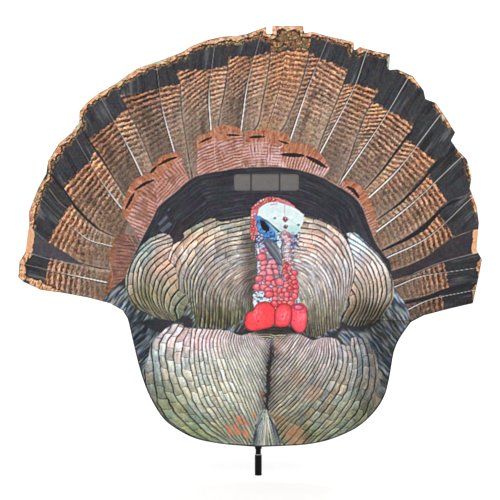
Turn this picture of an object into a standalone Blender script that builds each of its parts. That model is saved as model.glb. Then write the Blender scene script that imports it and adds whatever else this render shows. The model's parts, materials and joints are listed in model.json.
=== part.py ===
"""Turkey decoy: a flat cloth silhouette on a wire frame that folds in three and swivels on a pole.

The origin is the centre of the ferrule's open bottom end. +Z is up, the printed side faces -Y, and +X is to the
right of somebody who looks at the print. Lengths are in metres.
"""

import math

import bmesh
import bpy
from mathutils import Vector

# Pole, on the Z axis
POLE_RADIUS = 0.00445
POLE_BORE = 0.0031
POLE_FOOT = 0.020
POLE_SPLIT = 0.325
POLE_TOP = 0.452
CLEARANCE = 0.0003
FERRULE_RADIUS = 0.00575
FERRULE_BORE = 0.0047
FERRULE_TOP = 0.0335
FERRULE_GROOVE = 0.004
WASHER_HEIGHT = 0.0008
SLEEVE_HALF_LENGTH = 0.025
COLLAR_RADIUS = 0.0057
COLLAR_FOOT = 0.0433
CORD_RADIUS = 0.0015
PIN_RADIUS = 0.0012

# Cloth and frame wire
CLOTH_FRONT = -0.0070
CLOTH_THICKNESS = 0.0006
WIRE_Y = -0.0030
WIRE_RADIUS = 0.0016
WIRE_STEP = 0.012
CRIMP_RADIUS = 0.0030
CRIMP_LENGTH = 0.016

# The two fold lines, and how far from them the cloth of the wings starts
LEFT_FOLD_X = -0.012
RIGHT_FOLD_X = 0.035
FOLD_MARGIN = 0.008
WINDOW_LEFT, WINDOW_RIGHT = -0.0405, 0.067
WINDOW_BOTTOM, WINDOW_TOP = 0.469, 0.497

# Hinge brackets
BRACKET_FRONT = -0.0060
BRACKET_BACK = -0.0006
BRACKET_HEIGHT = 0.010
EYELET_RADIUS = 0.0034
BOSS_RADIUS = 0.0066
LOWER_BRACKET_Z = 0.062
MIDDLE_BRACKET_Z = 0.243
UPPER_BRACKET_Z = 0.425
TOP_BRACKET_Z = 0.700

# Where the hoop's ends meet the hinge rods
BOTTOM_JOIN_Z = 0.080
TOP_JOIN_Z = 0.684
CORNER_RADIUS = 0.005
HOOP_BOTTOM_Z = 0.0515
HOOP_TOP_Z = 0.713

# The silhouette's edge as (x, z). Smooth stretches run through these points, and corners are given one by one.
LEFT_BODY_EDGE = [(-0.020, 0.0490), (-0.063, 0.053), (-0.102, 0.061), (-0.131, 0.075), (-0.155, 0.093),
                  (-0.173, 0.120), (-0.186, 0.148), (-0.197, 0.183), (-0.207, 0.225), (-0.215, 0.259),
                  (-0.223, 0.272)]
LEFT_FAN_UNDERSIDE = [(-0.244, 0.284), (-0.278, 0.293), (-0.320, 0.301), (-0.357, 0.306), (-0.386, 0.319)]
LEFT_FAN_TIPS = [(-0.395, 0.327), (-0.393, 0.352), (-0.383, 0.369), (-0.381, 0.386), (-0.377, 0.414),
                 (-0.377, 0.436), (-0.362, 0.474), (-0.349, 0.497), (-0.346, 0.518), (-0.328, 0.547),
                 (-0.307, 0.565), (-0.295, 0.582), (-0.294, 0.600), (-0.284, 0.612), (-0.265, 0.628),
                 (-0.237, 0.644), (-0.215, 0.660), (-0.200, 0.670), (-0.178, 0.678), (-0.147, 0.689),
                 (-0.126, 0.697), (-0.110, 0.707), (-0.084, 0.717), (-0.058, 0.723), (-0.034, 0.724),
                 (-0.020, 0.727)]
CENTRE_BOTTOM_EDGE = [(-0.0197, 0.0490), (0.0, 0.0475), (0.0427, 0.0493)]
CENTRE_TOP_EDGE = [(0.0427, 0.740), (0.023, 0.740), (0.023, 0.727), (0.013, 0.727), (0.013, 0.739),
                   (-0.014, 0.729), (-0.0197, 0.727)]
RIGHT_BODY_EDGE = [(0.043, 0.0493), (0.078, 0.0515), (0.112, 0.058), (0.144, 0.070), (0.170, 0.085),
                   (0.194, 0.109), (0.209, 0.135), (0.217, 0.169), (0.223, 0.204), (0.233, 0.227),
                   (0.251, 0.253)]
RIGHT_FAN_UNDERSIDE = [(0.272, 0.264), (0.314, 0.275), (0.353, 0.284)]
RIGHT_FAN_TIPS = [(0.360, 0.316), (0.368, 0.356), (0.359, 0.372), (0.363, 0.416), (0.359, 0.445),
                  (0.348, 0.473), (0.351, 0.492), (0.343, 0.521), (0.328, 0.536), (0.317, 0.552),
                  (0.324, 0.565), (0.309, 0.589), (0.292, 0.614), (0.275, 0.620), (0.272, 0.634),
                  (0.254, 0.658), (0.229, 0.669), (0.215, 0.668), (0.217, 0.694), (0.191, 0.699),
                  (0.167, 0.706), (0.157, 0.698), (0.157, 0.714), (0.112, 0.724), (0.089, 0.731),
                  (0.074, 0.728), (0.074, 0.740), (0.043, 0.740)]

# The frame wire's route as (x, z), inside that edge. The three points that end one list and start the next are
# on the straight stretch that a crimp holds.
LEFT_BODY_ROUTE = [(-0.017, 0.0515), (-0.063, 0.0563), (-0.101, 0.0645), (-0.129, 0.078), (-0.152, 0.0955),
                   (-0.1695, 0.1215), (-0.1827, 0.149), (-0.1938, 0.184), (-0.2038, 0.226), (-0.211, 0.258),
                   (-0.219, 0.2735), (-0.232, 0.282)]
LEFT_FAN_ROUTE = [(-0.2325, 0.2823), (-0.248, 0.291), (-0.280, 0.299), (-0.320, 0.308), (-0.356, 0.314),
                  (-0.375, 0.324), (-0.381, 0.345), (-0.373, 0.384), (-0.366, 0.430), (-0.352, 0.470),
                  (-0.337, 0.510), (-0.312, 0.548), (-0.284, 0.586), (-0.250, 0.622), (-0.212, 0.650),
                  (-0.170, 0.672), (-0.120, 0.692), (-0.070, 0.706), (-0.017, 0.713)]
RIGHT_BODY_ROUTE = [(0.040, 0.0515), (0.078, 0.0545), (0.111, 0.0615), (0.1425, 0.0732), (0.1675, 0.088),
                    (0.191, 0.111), (0.2055, 0.1365), (0.2135, 0.170), (0.2195, 0.205), (0.229, 0.229),
                    (0.242, 0.2535), (0.2568, 0.2629)]
RIGHT_FAN_ROUTE = [(0.2573, 0.2632), (0.272, 0.2725), (0.312, 0.284), (0.336, 0.291), (0.345, 0.306),
                   (0.350, 0.345), (0.350, 0.380), (0.349, 0.416), (0.343, 0.450), (0.336, 0.485),
                   (0.325, 0.515), (0.308, 0.548), (0.288, 0.590), (0.265, 0.616), (0.243, 0.636),
                   (0.212, 0.658), (0.180, 0.677), (0.150, 0.691), (0.112, 0.704), (0.075, 0.711),
                   (0.040, 0.713)]


def clear_scene():
    for obj in list(bpy.data.objects):
        bpy.data.objects.remove(obj, do_unlink=True)


def new_collection(name):
    collection = bpy.data.collections.new(name)
    bpy.context.scene.collection.children.link(collection)
    return collection


def new_material(name, colour, roughness, metallic=0.0):
    material = bpy.data.materials.new(name)
    material.use_nodes = True
    shader = material.node_tree.nodes["Principled BSDF"]
    shader.inputs["Base Color"].default_value = (*colour, 1.0)
    shader.inputs["Roughness"].default_value = roughness
    shader.inputs["Metallic"].default_value = metallic
    return material


clear_scene()
PARTS = new_collection("turkey_decoy")
CUTTERS = new_collection("cutters")
BLACK_PLASTIC = new_material("black_plastic", (0.020, 0.020, 0.022), 0.45)
PALE_NYLON = new_material("pale_nylon", (0.72, 0.72, 0.68), 0.5)
BLACK_FIBREGLASS = new_material("black_fibreglass", (0.015, 0.015, 0.016), 0.35)
BLACK_STEEL = new_material("black_steel", (0.030, 0.030, 0.032), 0.40, 0.9)
ALUMINIUM = new_material("aluminium", (0.75, 0.75, 0.76), 0.35, 1.0)
ELASTIC = new_material("elastic_cord", (0.05, 0.05, 0.05), 0.9)
PRINTED_CLOTH = new_material("printed_cloth", (0.42, 0.33, 0.26), 0.85)
WINDOW_MESH = new_material("window_mesh", (0.42, 0.38, 0.33), 0.9)


def add_object(name, data, material, collection=PARTS):
    """Links a new object. With no parent it stands in world space."""
    obj = bpy.data.objects.new(name, data)
    data.materials.append(material)
    collection.objects.link(obj)
    return obj


def empty_on_axis(name, x, y, parent=None):
    """An empty on a vertical joint axis: what turns about that axis is parented to it."""
    empty = bpy.data.objects.new(name, None)
    empty.location = (x, y, 0.0)
    if parent:
        empty.parent = parent
        empty.matrix_parent_inverse = parent.matrix_world.inverted()
    PARTS.objects.link(empty)
    bpy.context.view_layer.update()
    return empty


def hang_on(parent, *objects):
    bpy.context.view_layer.update()
    for obj in objects:
        obj.parent = parent
        obj.matrix_parent_inverse = parent.matrix_world.inverted()


def turned(name, profile, material, sides=32, closed=True, centre=(0.0, 0.0, 0.0), along=(0.0, 0.0, 1.0)):
    """A turned piece from its profile of (radius, height), which runs down its outer side."""
    mesh = bpy.data.meshes.new(name)
    count = len(profile)
    edges = [(i, (i + 1) % count) for i in range(count if closed else count - 1)]
    mesh.from_pydata([(radius, 0.0, height) for radius, height in profile], edges, [])
    obj = add_object(name, mesh, material)
    screw = obj.modifiers.new("turn", "SCREW")
    screw.steps = screw.render_steps = sides
    screw.use_merge_vertices = True
    screw.merge_threshold = 0.00001
    screw.use_smooth_shade = True
    obj.location = centre
    obj.rotation_euler = Vector((0.0, 0.0, 1.0)).rotation_difference(Vector(along)).to_euler()
    return obj


def ring(name, outer, inner, bottom, top, material, sides=32, chamfer=0.0, **place):
    """A plain sleeve. A chamfer breaks its two outer edges."""
    profile = [(outer - chamfer, top), (outer, top - chamfer), (outer, bottom + chamfer),
               (outer - chamfer, bottom), (inner, bottom), (inner, top)]
    if not chamfer:
        profile = [(outer, top), (outer, bottom), (inner, bottom), (inner, top)]
    return turned(name, profile, material, sides, **place)


def smooth_through(points, step):
    """Points about a step apart on a Catmull-Rom curve through the given points."""
    points = [Vector(p) for p in points]
    ends = [2 * points[0] - points[1]] + points + [2 * points[-1] - points[-2]]
    found = []
    for before, start, end, after in zip(ends, ends[1:], ends[2:], ends[3:]):
        count = max(1, round((end - start).length / step))
        for i in range(count):
            t = i / count
            found.append(0.5 * (2 * start + (end - before) * t
                                + (2 * before - 5 * start + 4 * end - after) * t ** 2
                                + (3 * start - before - 3 * end + after) * t ** 3))
    return found + [points[-1]]


def wire(name, points, radius, material):
    """A round wire through the given points, with closed ends."""
    curve = bpy.data.curves.new(name, "CURVE")
    curve.dimensions = "3D"
    spline = curve.splines.new("POLY")
    spline.points.add(len(points) - 1)
    for target, point in zip(spline.points, points):
        target.co = (*point, 1.0)
    curve.bevel_depth = radius
    curve.bevel_resolution = 2
    curve.use_fill_caps = True
    return add_object(name, curve, material)


def outline_plate(name, outlines, thickness, material):
    """A flat plate, centred on the XY plane, from its outline and the outlines of its holes."""
    curve = bpy.data.curves.new(name, "CURVE")
    curve.dimensions = "2D"
    curve.fill_mode = "BOTH"
    curve.extrude = thickness / 2
    for outline in outlines:
        spline = curve.splines.new("POLY")
        spline.points.add(len(outline) - 1)
        spline.use_cyclic_u = True
        for target, (x, y) in zip(spline.points, outline):
            target.co = (x, y, 0.0, 1.0)
    return add_object(name, curve, material)


def cloth_plate(name, outline, material):
    """A plate of cloth that stands in the silhouette's plane."""
    plate = outline_plate(name, [outline], CLOTH_THICKNESS, material)
    plate.rotation_euler = (math.radians(90), 0.0, 0.0)
    plate.location = (0.0, CLOTH_FRONT + CLOTH_THICKNESS / 2, 0.0)
    return plate


def arc(centre, radius, start_degrees, end_degrees, count):
    cx, cy = centre
    angles = [math.radians(start_degrees + (end_degrees - start_degrees) * i / count) for i in range(count + 1)]
    return [(cx + radius * math.cos(a), cy + radius * math.sin(a)) for a in angles]


def circle(centre, radius, count=24):
    return arc(centre, radius, 0, 360, count)[:-1]


def drill(obj, radius, centre, depth):
    """Cuts a round hole along Y."""
    mesh = bpy.data.meshes.new(obj.name + "_drill")
    shape = bmesh.new()
    bmesh.ops.create_cone(shape, cap_ends=True, segments=24, radius1=radius, radius2=radius, depth=depth)
    shape.to_mesh(mesh)
    shape.free()
    cutter = add_object(obj.name + "_drill", mesh, BLACK_STEEL, CUTTERS)
    cutter.location = centre
    cutter.rotation_euler = (math.radians(90), 0.0, 0.0)
    cutter.hide_render = True
    cutter.display_type = "WIRE"
    cut = obj.modifiers.new("hole", "BOOLEAN")
    cut.operation = "DIFFERENCE"
    cut.object = cutter


# Mast: everything that stays still on the ground stake

def make_ferrule():
    """The open sleeve that slips over the ground stake. The pole's foot closes it from above."""
    groove_depth = 0.0004
    chamfer = 0.0005
    half_groove = 0.0005
    return turned("socket_ferrule", [
        (FERRULE_RADIUS - chamfer, FERRULE_TOP),
        (FERRULE_RADIUS, FERRULE_TOP - chamfer),
        (FERRULE_RADIUS, FERRULE_GROOVE + half_groove),
        (FERRULE_RADIUS - groove_depth, FERRULE_GROOVE),
        (FERRULE_RADIUS, FERRULE_GROOVE - half_groove),
        (FERRULE_RADIUS, 0.0002),
        (FERRULE_RADIUS - 0.0002, 0.0),
        (FERRULE_BORE, 0.0),
        (FERRULE_BORE, FERRULE_TOP),
    ], BLACK_PLASTIC, sides=48)


def make_pole():
    """Two tubes in a sleeve, with the shock cord and its end plugs inside."""
    washer_foot = FERRULE_TOP + CLEARANCE
    ring("ferrule_washer", 0.0055, POLE_RADIUS + CLEARANCE, washer_foot, washer_foot + WASHER_HEIGHT, PALE_NYLON)
    lower = ring("lower_pole_tube", POLE_RADIUS, POLE_BORE, POLE_FOOT, POLE_SPLIT - CLEARANCE / 2,
                 BLACK_FIBREGLASS)
    upper = ring("upper_pole_tube", POLE_RADIUS, POLE_BORE, POLE_SPLIT + CLEARANCE / 2, POLE_TOP,
                 BLACK_FIBREGLASS)
    ring("pole_joint_sleeve", 0.0056, POLE_RADIUS + CLEARANCE, POLE_SPLIT - SLEEVE_HALF_LENGTH,
         POLE_SPLIT + SLEEVE_HALF_LENGTH, ALUMINIUM, chamfer=0.0004)
    plug_radius = POLE_BORE - CLEARANCE
    plug_bore = CORD_RADIUS + CLEARANCE
    plug_height = 0.006
    plug_inset = 0.001
    lower_plug_foot = POLE_FOOT + plug_inset
    upper_plug_foot = POLE_TOP - plug_inset - plug_height
    ring("lower_cord_plug", plug_radius, plug_bore, lower_plug_foot, lower_plug_foot + plug_height, PALE_NYLON)
    ring("upper_cord_plug", plug_radius, plug_bore, upper_plug_foot, upper_plug_foot + plug_height, PALE_NYLON)
    wire("shock_cord", [(0, 0, lower_plug_foot), (0, 0, POLE_SPLIT), (0, 0, POLE_TOP - plug_inset)],
         CORD_RADIUS, ELASTIC)
    return lower, upper


def make_tip_cap():
    wall = 0.0014
    outer = POLE_RADIUS + CLEARANCE + wall
    ceiling = POLE_TOP + CLEARANCE
    foot = POLE_TOP - 0.008
    crown = arc((0.0, ceiling + wall / 2), outer, 90, 0, 6)
    dome = [(x, ceiling + wall / 2 + (z - ceiling - wall / 2) * 0.35) for x, z in crown]
    dome[0] = (0.0, dome[0][1])
    return turned("pole_tip_cap", dome + [
        (outer, foot), (POLE_RADIUS + CLEARANCE, foot), (POLE_RADIUS + CLEARANCE, ceiling), (0.0, ceiling),
    ], BLACK_PLASTIC, closed=False)


def make_collar(which, foot, top, tube):
    """A stop ring on the pole, held by one pin, flush with its back, through the ring and the tube's wall."""
    middle = (foot + top) / 2
    collar = ring(f"{which}_stop_collar", COLLAR_RADIUS, POLE_RADIUS + CLEARANCE, foot, top, BLACK_PLASTIC,
                  sides=48, chamfer=0.0005)
    hole_depth = 0.005
    for piece in (collar, tube):
        drill(piece, PIN_RADIUS + CLEARANCE, (0.0, COLLAR_RADIUS - 0.001, middle), hole_depth)
    dome_height = 0.0003
    crown = arc((0.0, 0.0), 1.0, 90, 0, 4)
    shoulder = COLLAR_RADIUS - dome_height
    head = [(max(x, 0.0) * PIN_RADIUS, shoulder + z * dome_height) for x, z in crown]
    head[0] = (0.0, COLLAR_RADIUS)
    pin_foot = POLE_BORE + 0.0002
    turned(f"{which}_collar_pin", head + [(PIN_RADIUS, pin_foot), (0.0, pin_foot)], ALUMINIUM, sides=20,
           closed=False, centre=(0.0, 0.0, middle), along=(0.0, 1.0, 0.0))


# Spine: the hinge brackets and the cloth between the fold lines

def make_bracket(name, middle_z, on_pole):
    """A moulded bar with an eyelet for each hinge rod, and for the lower three a boss that turns on the pole."""
    half_flat = math.degrees(math.acos((WIRE_Y - BRACKET_FRONT) / EYELET_RADIUS))
    back_angle = math.degrees(math.asin((BRACKET_BACK - WIRE_Y) / EYELET_RADIUS))
    left, right = (LEFT_FOLD_X, WIRE_Y), (RIGHT_FOLD_X, WIRE_Y)
    outline = arc(right, EYELET_RADIUS, -90 + half_flat, 180 - back_angle, 12)
    if on_pole:
        start = math.degrees(math.asin(BRACKET_BACK / BOSS_RADIUS))
        outline += arc((0.0, 0.0), BOSS_RADIUS, start, 180 - start, 18)
    outline += arc(left, EYELET_RADIUS, back_angle, 270 - half_flat, 12)
    eyelet_hole = WIRE_RADIUS + CLEARANCE
    holes = [circle(left, eyelet_hole), circle(right, eyelet_hole)]
    if on_pole:
        holes.append(circle((0.0, 0.0), POLE_RADIUS + CLEARANCE, 32))
    bracket = outline_plate(name, [outline] + holes, BRACKET_HEIGHT, BLACK_PLASTIC)
    bracket.location = (0.0, 0.0, middle_z)
    return bracket


def make_centre_cloth():
    """The strip of cloth between the fold lines, above and below the window, and the window's own mesh."""
    left = LEFT_FOLD_X - FOLD_MARGIN + CLEARANCE
    right = RIGHT_FOLD_X + FOLD_MARGIN - CLEARANCE
    low, high = WINDOW_BOTTOM - CLEARANCE, WINDOW_TOP + CLEARANCE
    lower = cloth_plate("centre_panel_lower", CENTRE_BOTTOM_EDGE + [(right, low), (left, low)], PRINTED_CLOTH)
    upper = cloth_plate("centre_panel_upper", [(left, high), (right, high)] + CENTRE_TOP_EDGE, PRINTED_CLOTH)
    window = cloth_plate("centre_window_mesh", [(left, WINDOW_BOTTOM), (right, WINDOW_BOTTOM),
                                                (right, WINDOW_TOP), (left, WINDOW_TOP)], WINDOW_MESH)
    return lower, upper, window


# Wings: a hoop of wire with its hinge rod, and the cloth on it

def upright(points):
    return [(x, WIRE_Y, z) for x, z in points]


def make_crimp(name, centre, along):
    half = CRIMP_LENGTH / 2
    inner = WIRE_RADIUS + CLEARANCE + 0.0001
    return ring(name, CRIMP_RADIUS, inner, -half, half, ALUMINIUM, sides=20, chamfer=0.0003,
                centre=centre, along=along)


def make_hoop(side, fold_x, outward, body_route, fan_route):
    """The hinge rod and the two bent wires, butted in crimps. Both wires turn a tight corner into the rod."""
    gap = CLEARANCE / 2
    corner_x = fold_x + outward * CORNER_RADIUS
    low_centre = (corner_x, HOOP_BOTTOM_Z + CORNER_RADIUS)
    high_centre = (corner_x, HOOP_TOP_Z - CORNER_RADIUS)
    facing_rod = 180 if outward > 0 else 0
    low_corner = arc(low_centre, CORNER_RADIUS, facing_rod, 270, 5)
    high_corner = arc(high_centre, CORNER_RADIUS, 90, facing_rod, 5)
    if outward < 0:
        low_corner = arc(low_centre, CORNER_RADIUS, 0, -90, 5)
    body_path = [(fold_x, BOTTOM_JOIN_Z - gap)] + low_corner[:-1] + smooth_through(body_route, WIRE_STEP)
    fan_path = smooth_through(fan_route, WIRE_STEP) + high_corner[1:] + [(fold_x, TOP_JOIN_Z + gap)]
    pieces = [
        wire(f"{side}_body_wire", upright(body_path), WIRE_RADIUS, BLACK_STEEL),
        wire(f"{side}_fan_wire", upright(fan_path), WIRE_RADIUS, BLACK_STEEL),
        wire(f"{side}_hinge_rod", upright([(fold_x, BOTTOM_JOIN_Z + gap), (fold_x, TOP_JOIN_Z - gap)]),
             WIRE_RADIUS, BLACK_STEEL),
        make_crimp(f"{side}_bottom_crimp", (fold_x, WIRE_Y, BOTTOM_JOIN_Z), (0.0, 0.0, 1.0)),
        make_crimp(f"{side}_top_crimp", (fold_x, WIRE_Y, TOP_JOIN_Z), (0.0, 0.0, 1.0)),
    ]
    end, start = Vector(body_route[-1]), Vector(fan_route[0])
    middle, run = (end + start) / 2, Vector(fan_route[1]) - Vector(body_route[-2])
    pieces.append(make_crimp(f"{side}_waist_crimp", (middle.x, WIRE_Y, middle.y), (run.x, 0.0, run.y)))
    return pieces


def make_wing_cloth(side, fold_x, outward, edge, window_x):
    """One side's cloth, notched for its part of the window, and that part of the window."""
    inner = fold_x + outward * FOLD_MARGIN
    notch = window_x + outward * CLEARANCE
    low, high = WINDOW_BOTTOM - CLEARANCE, WINDOW_TOP + CLEARANCE
    panel = cloth_plate(f"{side}_panel", edge + [(inner, high), (notch, high), (notch, low), (inner, low)],
                        PRINTED_CLOTH)
    window = cloth_plate(f"{side}_window_mesh", [(inner, WINDOW_BOTTOM), (window_x, WINDOW_BOTTOM),
                                                 (window_x, WINDOW_TOP), (inner, WINDOW_TOP)], WINDOW_MESH)
    return panel, window


def wing_edge(body_edge, underside, tips):
    body = [tuple(p) for p in smooth_through(body_edge, WIRE_STEP)]
    return body + underside + tips


make_ferrule()
lower_tube, upper_tube = make_pole()
make_tip_cap()
lower_bracket_foot = LOWER_BRACKET_Z - BRACKET_HEIGHT / 2
upper_bracket_top = UPPER_BRACKET_Z + BRACKET_HEIGHT / 2
make_collar("lower", COLLAR_FOOT, lower_bracket_foot - CLEARANCE, lower_tube)
make_collar("upper", upper_bracket_top + CLEARANCE, upper_bracket_top + 0.010, upper_tube)

swivel = empty_on_axis("swivel_axis", 0.0, 0.0)
hang_on(swivel,
        make_bracket("lower_hinge_bracket", LOWER_BRACKET_Z, True),
        make_bracket("middle_hinge_bracket", MIDDLE_BRACKET_Z, True),
        make_bracket("upper_hinge_bracket", UPPER_BRACKET_Z, True),
        make_bracket("top_hinge_bracket", TOP_BRACKET_Z, False),
        *make_centre_cloth())

for side, fold_x, outward, body_route, fan_route, edge, window_x in (
    ("left", LEFT_FOLD_X, -1, LEFT_BODY_ROUTE, LEFT_FAN_ROUTE,
     wing_edge(LEFT_BODY_EDGE, LEFT_FAN_UNDERSIDE, LEFT_FAN_TIPS), WINDOW_LEFT),
    ("right", RIGHT_FOLD_X, 1, RIGHT_BODY_ROUTE, RIGHT_FAN_ROUTE,
     wing_edge(RIGHT_BODY_EDGE, RIGHT_FAN_UNDERSIDE, RIGHT_FAN_TIPS), WINDOW_RIGHT),
):
    fold = empty_on_axis(f"{side}_fold_axis", fold_x, WIRE_Y, swivel)
    hang_on(fold, *make_hoop(side, fold_x, outward, body_route, fan_route),
            *make_wing_cloth(side, fold_x, outward, edge, window_x))
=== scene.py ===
"""Looks of the turkey decoy: printed cloth, lining, hem tape, wire sleeves, mesh window and pole."""

import json
import math

import bpy
import numpy as np
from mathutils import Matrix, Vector


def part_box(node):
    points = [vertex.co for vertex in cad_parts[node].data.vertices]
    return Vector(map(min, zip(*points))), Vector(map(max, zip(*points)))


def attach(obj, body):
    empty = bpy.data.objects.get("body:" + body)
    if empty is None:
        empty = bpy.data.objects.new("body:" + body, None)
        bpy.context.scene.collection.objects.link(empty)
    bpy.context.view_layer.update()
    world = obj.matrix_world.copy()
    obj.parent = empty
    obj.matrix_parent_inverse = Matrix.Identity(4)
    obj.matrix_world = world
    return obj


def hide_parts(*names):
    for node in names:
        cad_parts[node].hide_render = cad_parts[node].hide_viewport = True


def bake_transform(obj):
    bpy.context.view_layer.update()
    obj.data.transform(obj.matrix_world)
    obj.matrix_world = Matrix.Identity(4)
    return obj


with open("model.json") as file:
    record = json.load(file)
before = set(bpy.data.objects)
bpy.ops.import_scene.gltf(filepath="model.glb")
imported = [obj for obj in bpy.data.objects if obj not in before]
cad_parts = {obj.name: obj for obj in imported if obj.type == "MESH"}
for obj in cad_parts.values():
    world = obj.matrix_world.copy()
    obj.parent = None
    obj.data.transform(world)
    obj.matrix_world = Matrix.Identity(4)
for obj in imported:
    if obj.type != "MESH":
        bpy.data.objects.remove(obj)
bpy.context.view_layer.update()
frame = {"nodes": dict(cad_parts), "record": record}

# Sizes and places are in millimetres, in the CAD model's frame: x to the right, y away from the viewer, z up.
MM = 0.001
STEP = 1.2  # the cloth's cell, finer than a pixel of the photograph
COARSE_STEP = 4 * STEP  # the lining's cell
SPLIT_X = 12.0  # where the left and the right cloth meet, on the centre strip
CLOTH_FRONT = -7.0
LINING_FRONT = -6.35
LINING_SHARE = 0.92  # how much of the front's relief the lining follows
LEFT_FOLD_X, RIGHT_FOLD_X = -12.0, 35.0
WIRE_Y = -3.0
TAPE_STEP = 2.5
STITCH_PITCH = 4.6
SILHOUETTE_NODES = ("left_panel", "centre_panel_lower", "centre_panel_upper", "right_panel")


# ------------------------------------------------------------------ the print: tools
def hashed(i, j, seed):
    """A fixed pseudo-random number from 0 to 1 for each pair of whole numbers."""
    n = (i.astype(np.int64) * 374761393 + j.astype(np.int64) * 668265263 + seed * 974634777) & 0xFFFFFFFF
    n = ((n ^ (n >> 13)) * 1274126177) & 0xFFFFFFFF
    n = ((n ^ (n >> 15)) * 1103515245) & 0xFFFFFFFF
    return ((n ^ (n >> 16)) & 0xFFFF) / 65535.0


def noise(u, v, seed):
    """Smooth noise from -1 to 1 with a grain of one unit."""
    i, j = np.floor(u), np.floor(v)
    fu, fv = u - i, v - j
    fu, fv = fu * fu * (3 - 2 * fu), fv * fv * (3 - 2 * fv)
    low = hashed(i, j, seed) * (1 - fu) + hashed(i + 1, j, seed) * fu
    high = hashed(i, j + 1, seed) * (1 - fu) + hashed(i + 1, j + 1, seed) * fu
    return 2 * (low * (1 - fv) + high * fv) - 1


def cloud(u, v, seed, octaves=3):
    """Noise with finer grains on top, about -1 to 1."""
    total = np.zeros(np.broadcast(u, v).shape)
    for k in range(octaves):
        total += noise(u * 2 ** k + 7.3 * k, v * 2 ** k - 3.1 * k, seed + 31 * k) / 1.6 ** k
    return total / 1.5


def ease(low, high, value):
    """0 below low, 1 above high, and smooth in between."""
    t = np.clip((value - low) / (high - low), 0, 1)
    return t * t * (3 - 2 * t)


def smooth_line(points, step=4.0):
    """A Catmull-Rom line through the points, as an array of points about a step apart."""
    p = np.array(points, float)
    if len(p) < 3:
        n = max(2, int(np.linalg.norm(p[-1] - p[0]) / step))
        return p[0] + (p[-1] - p[0]) * np.linspace(0, 1, n)[:, None]
    p = np.vstack([2 * p[0] - p[1], p, 2 * p[-1] - p[-2]])
    line = []
    for a, b, c, d in zip(p, p[1:], p[2:], p[3:]):
        count = max(1, int(np.linalg.norm(c - b) / step))
        for t in np.arange(count) / count:
            line.append(b + 0.5 * t * (c - a + t * (2 * a - 5 * b + 4 * c - d + t * (3 * (b - c) + d - a))))
    line.append(p[-2])
    return np.array(line)


def closed_line(points, step=4.0):
    """A smooth closed outline through the points."""
    return smooth_line(list(points) + [points[0]], step)[:-1]


def length_of(line):
    """The length of a line of points."""
    return np.linalg.norm(np.diff(line, axis=0), axis=1).sum()


def crests(phase):
    """A wave from 0 to 1, with a crest at each whole number."""
    return 0.5 + 0.5 * np.cos(2 * math.pi * phase)


def measure(line, x, z):
    """Signed distance to an open line, positive on its left, and the length along it."""
    best = np.full(x.shape, 1e9)
    side = np.zeros(x.shape)
    along = np.zeros(x.shape)
    start = 0.0
    last = len(line) - 2
    for k, (a, b) in enumerate(zip(line, line[1:])):
        dx, dz = b - a
        length = math.hypot(dx, dz)
        if length < 1e-9:
            continue
        dx, dz = dx / length, dz / length
        px, pz = x - a[0], z - a[1]
        t = px * dx + pz * dz
        low = -1e9 if k == 0 else 0.0
        high = 1e9 if k == last else length
        held = np.clip(t, low, high)
        across = pz * dx - px * dz
        gap = across * across + (t - held) ** 2
        near = gap < best
        best = np.where(near, gap, best)
        side = np.where(near, np.where(across < 0, -1.0, 1.0) * np.sqrt(gap), side)
        along = np.where(near, start + held, along)
        start += length
    return side, along


def ring_edges(outline):
    """The edges of a closed outline, as pairs of points."""
    return np.stack([outline, np.roll(outline, -1, axis=0)], 1)


def inside(edges, x, z):
    """True in the area that the edges close."""
    odd = np.zeros(x.shape, bool)
    for (ax, az), (bx, bz) in edges:
        if az != bz:
            odd ^= ((az > z) != (bz > z)) & (x < (bx - ax) * (z - az) / (bz - az) + ax)
    return odd


def edge_distance(outline, x, z):
    """Distance to a closed outline, positive inside it."""
    best = np.full(x.shape, 1e9)
    for a, b in ring_edges(outline):
        d = b - a
        length2 = d @ d
        if length2 < 1e-9:
            continue
        px, pz = x - a[0], z - a[1]
        t = np.clip((px * d[0] + pz * d[1]) / length2, 0, 1)
        best = np.minimum(best, (px - t * d[0]) ** 2 + (pz - t * d[1]) ** 2)
    return np.where(inside(ring_edges(outline), x, z), 1, -1) * np.sqrt(best)


class Patch:
    """A rectangle of the print: its places in millimetres and its colours, shared with the whole print."""

    def __init__(self, x, z, rgb):
        self.x, self.z, self.rgb = x, z, rgb

    def around(self, points, margin=6.0):
        """The smaller patch that holds the points."""
        p = np.array(points, float)
        xs, zs = self.x[0], self.z[:, 0]
        c = slice(*np.searchsorted(xs, (p[:, 0].min() - margin, p[:, 0].max() + margin)))
        r = slice(*np.searchsorted(zs, (p[:, 1].min() - margin, p[:, 1].max() + margin)))
        return Patch(self.x[r, c], self.z[r, c], self.rgb[r, c])

    def lay(self, colour, mask=1.0):
        """Covers the patch with a colour, or an array of colours, where the mask is 1."""
        mask = np.broadcast_to(mask, self.x.shape)[..., None]
        self.rgb += (np.asarray(colour, float) - self.rgb) * mask

    def shade(self, factor):
        """Darkens or lightens the patch."""
        self.rgb *= np.broadcast_to(factor, self.x.shape)[..., None]


def mixed(a, b, share):
    """A blend of two colours for each place."""
    return np.asarray(a, float) + (np.asarray(b, float) - np.asarray(a, float)) * np.asarray(share)[..., None]


def between(a, b, share):
    """A blend of two colours."""
    return tuple(p + (q - p) * share for p, q in zip(a, b))


def ramp(value, *stops):
    """The colour at a value, from (value, colour) stops in rising order."""
    places = [s[0] for s in stops]
    return np.stack([np.interp(value, places, [s[1][c] for s in stops]) for c in range(3)], -1)


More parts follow.
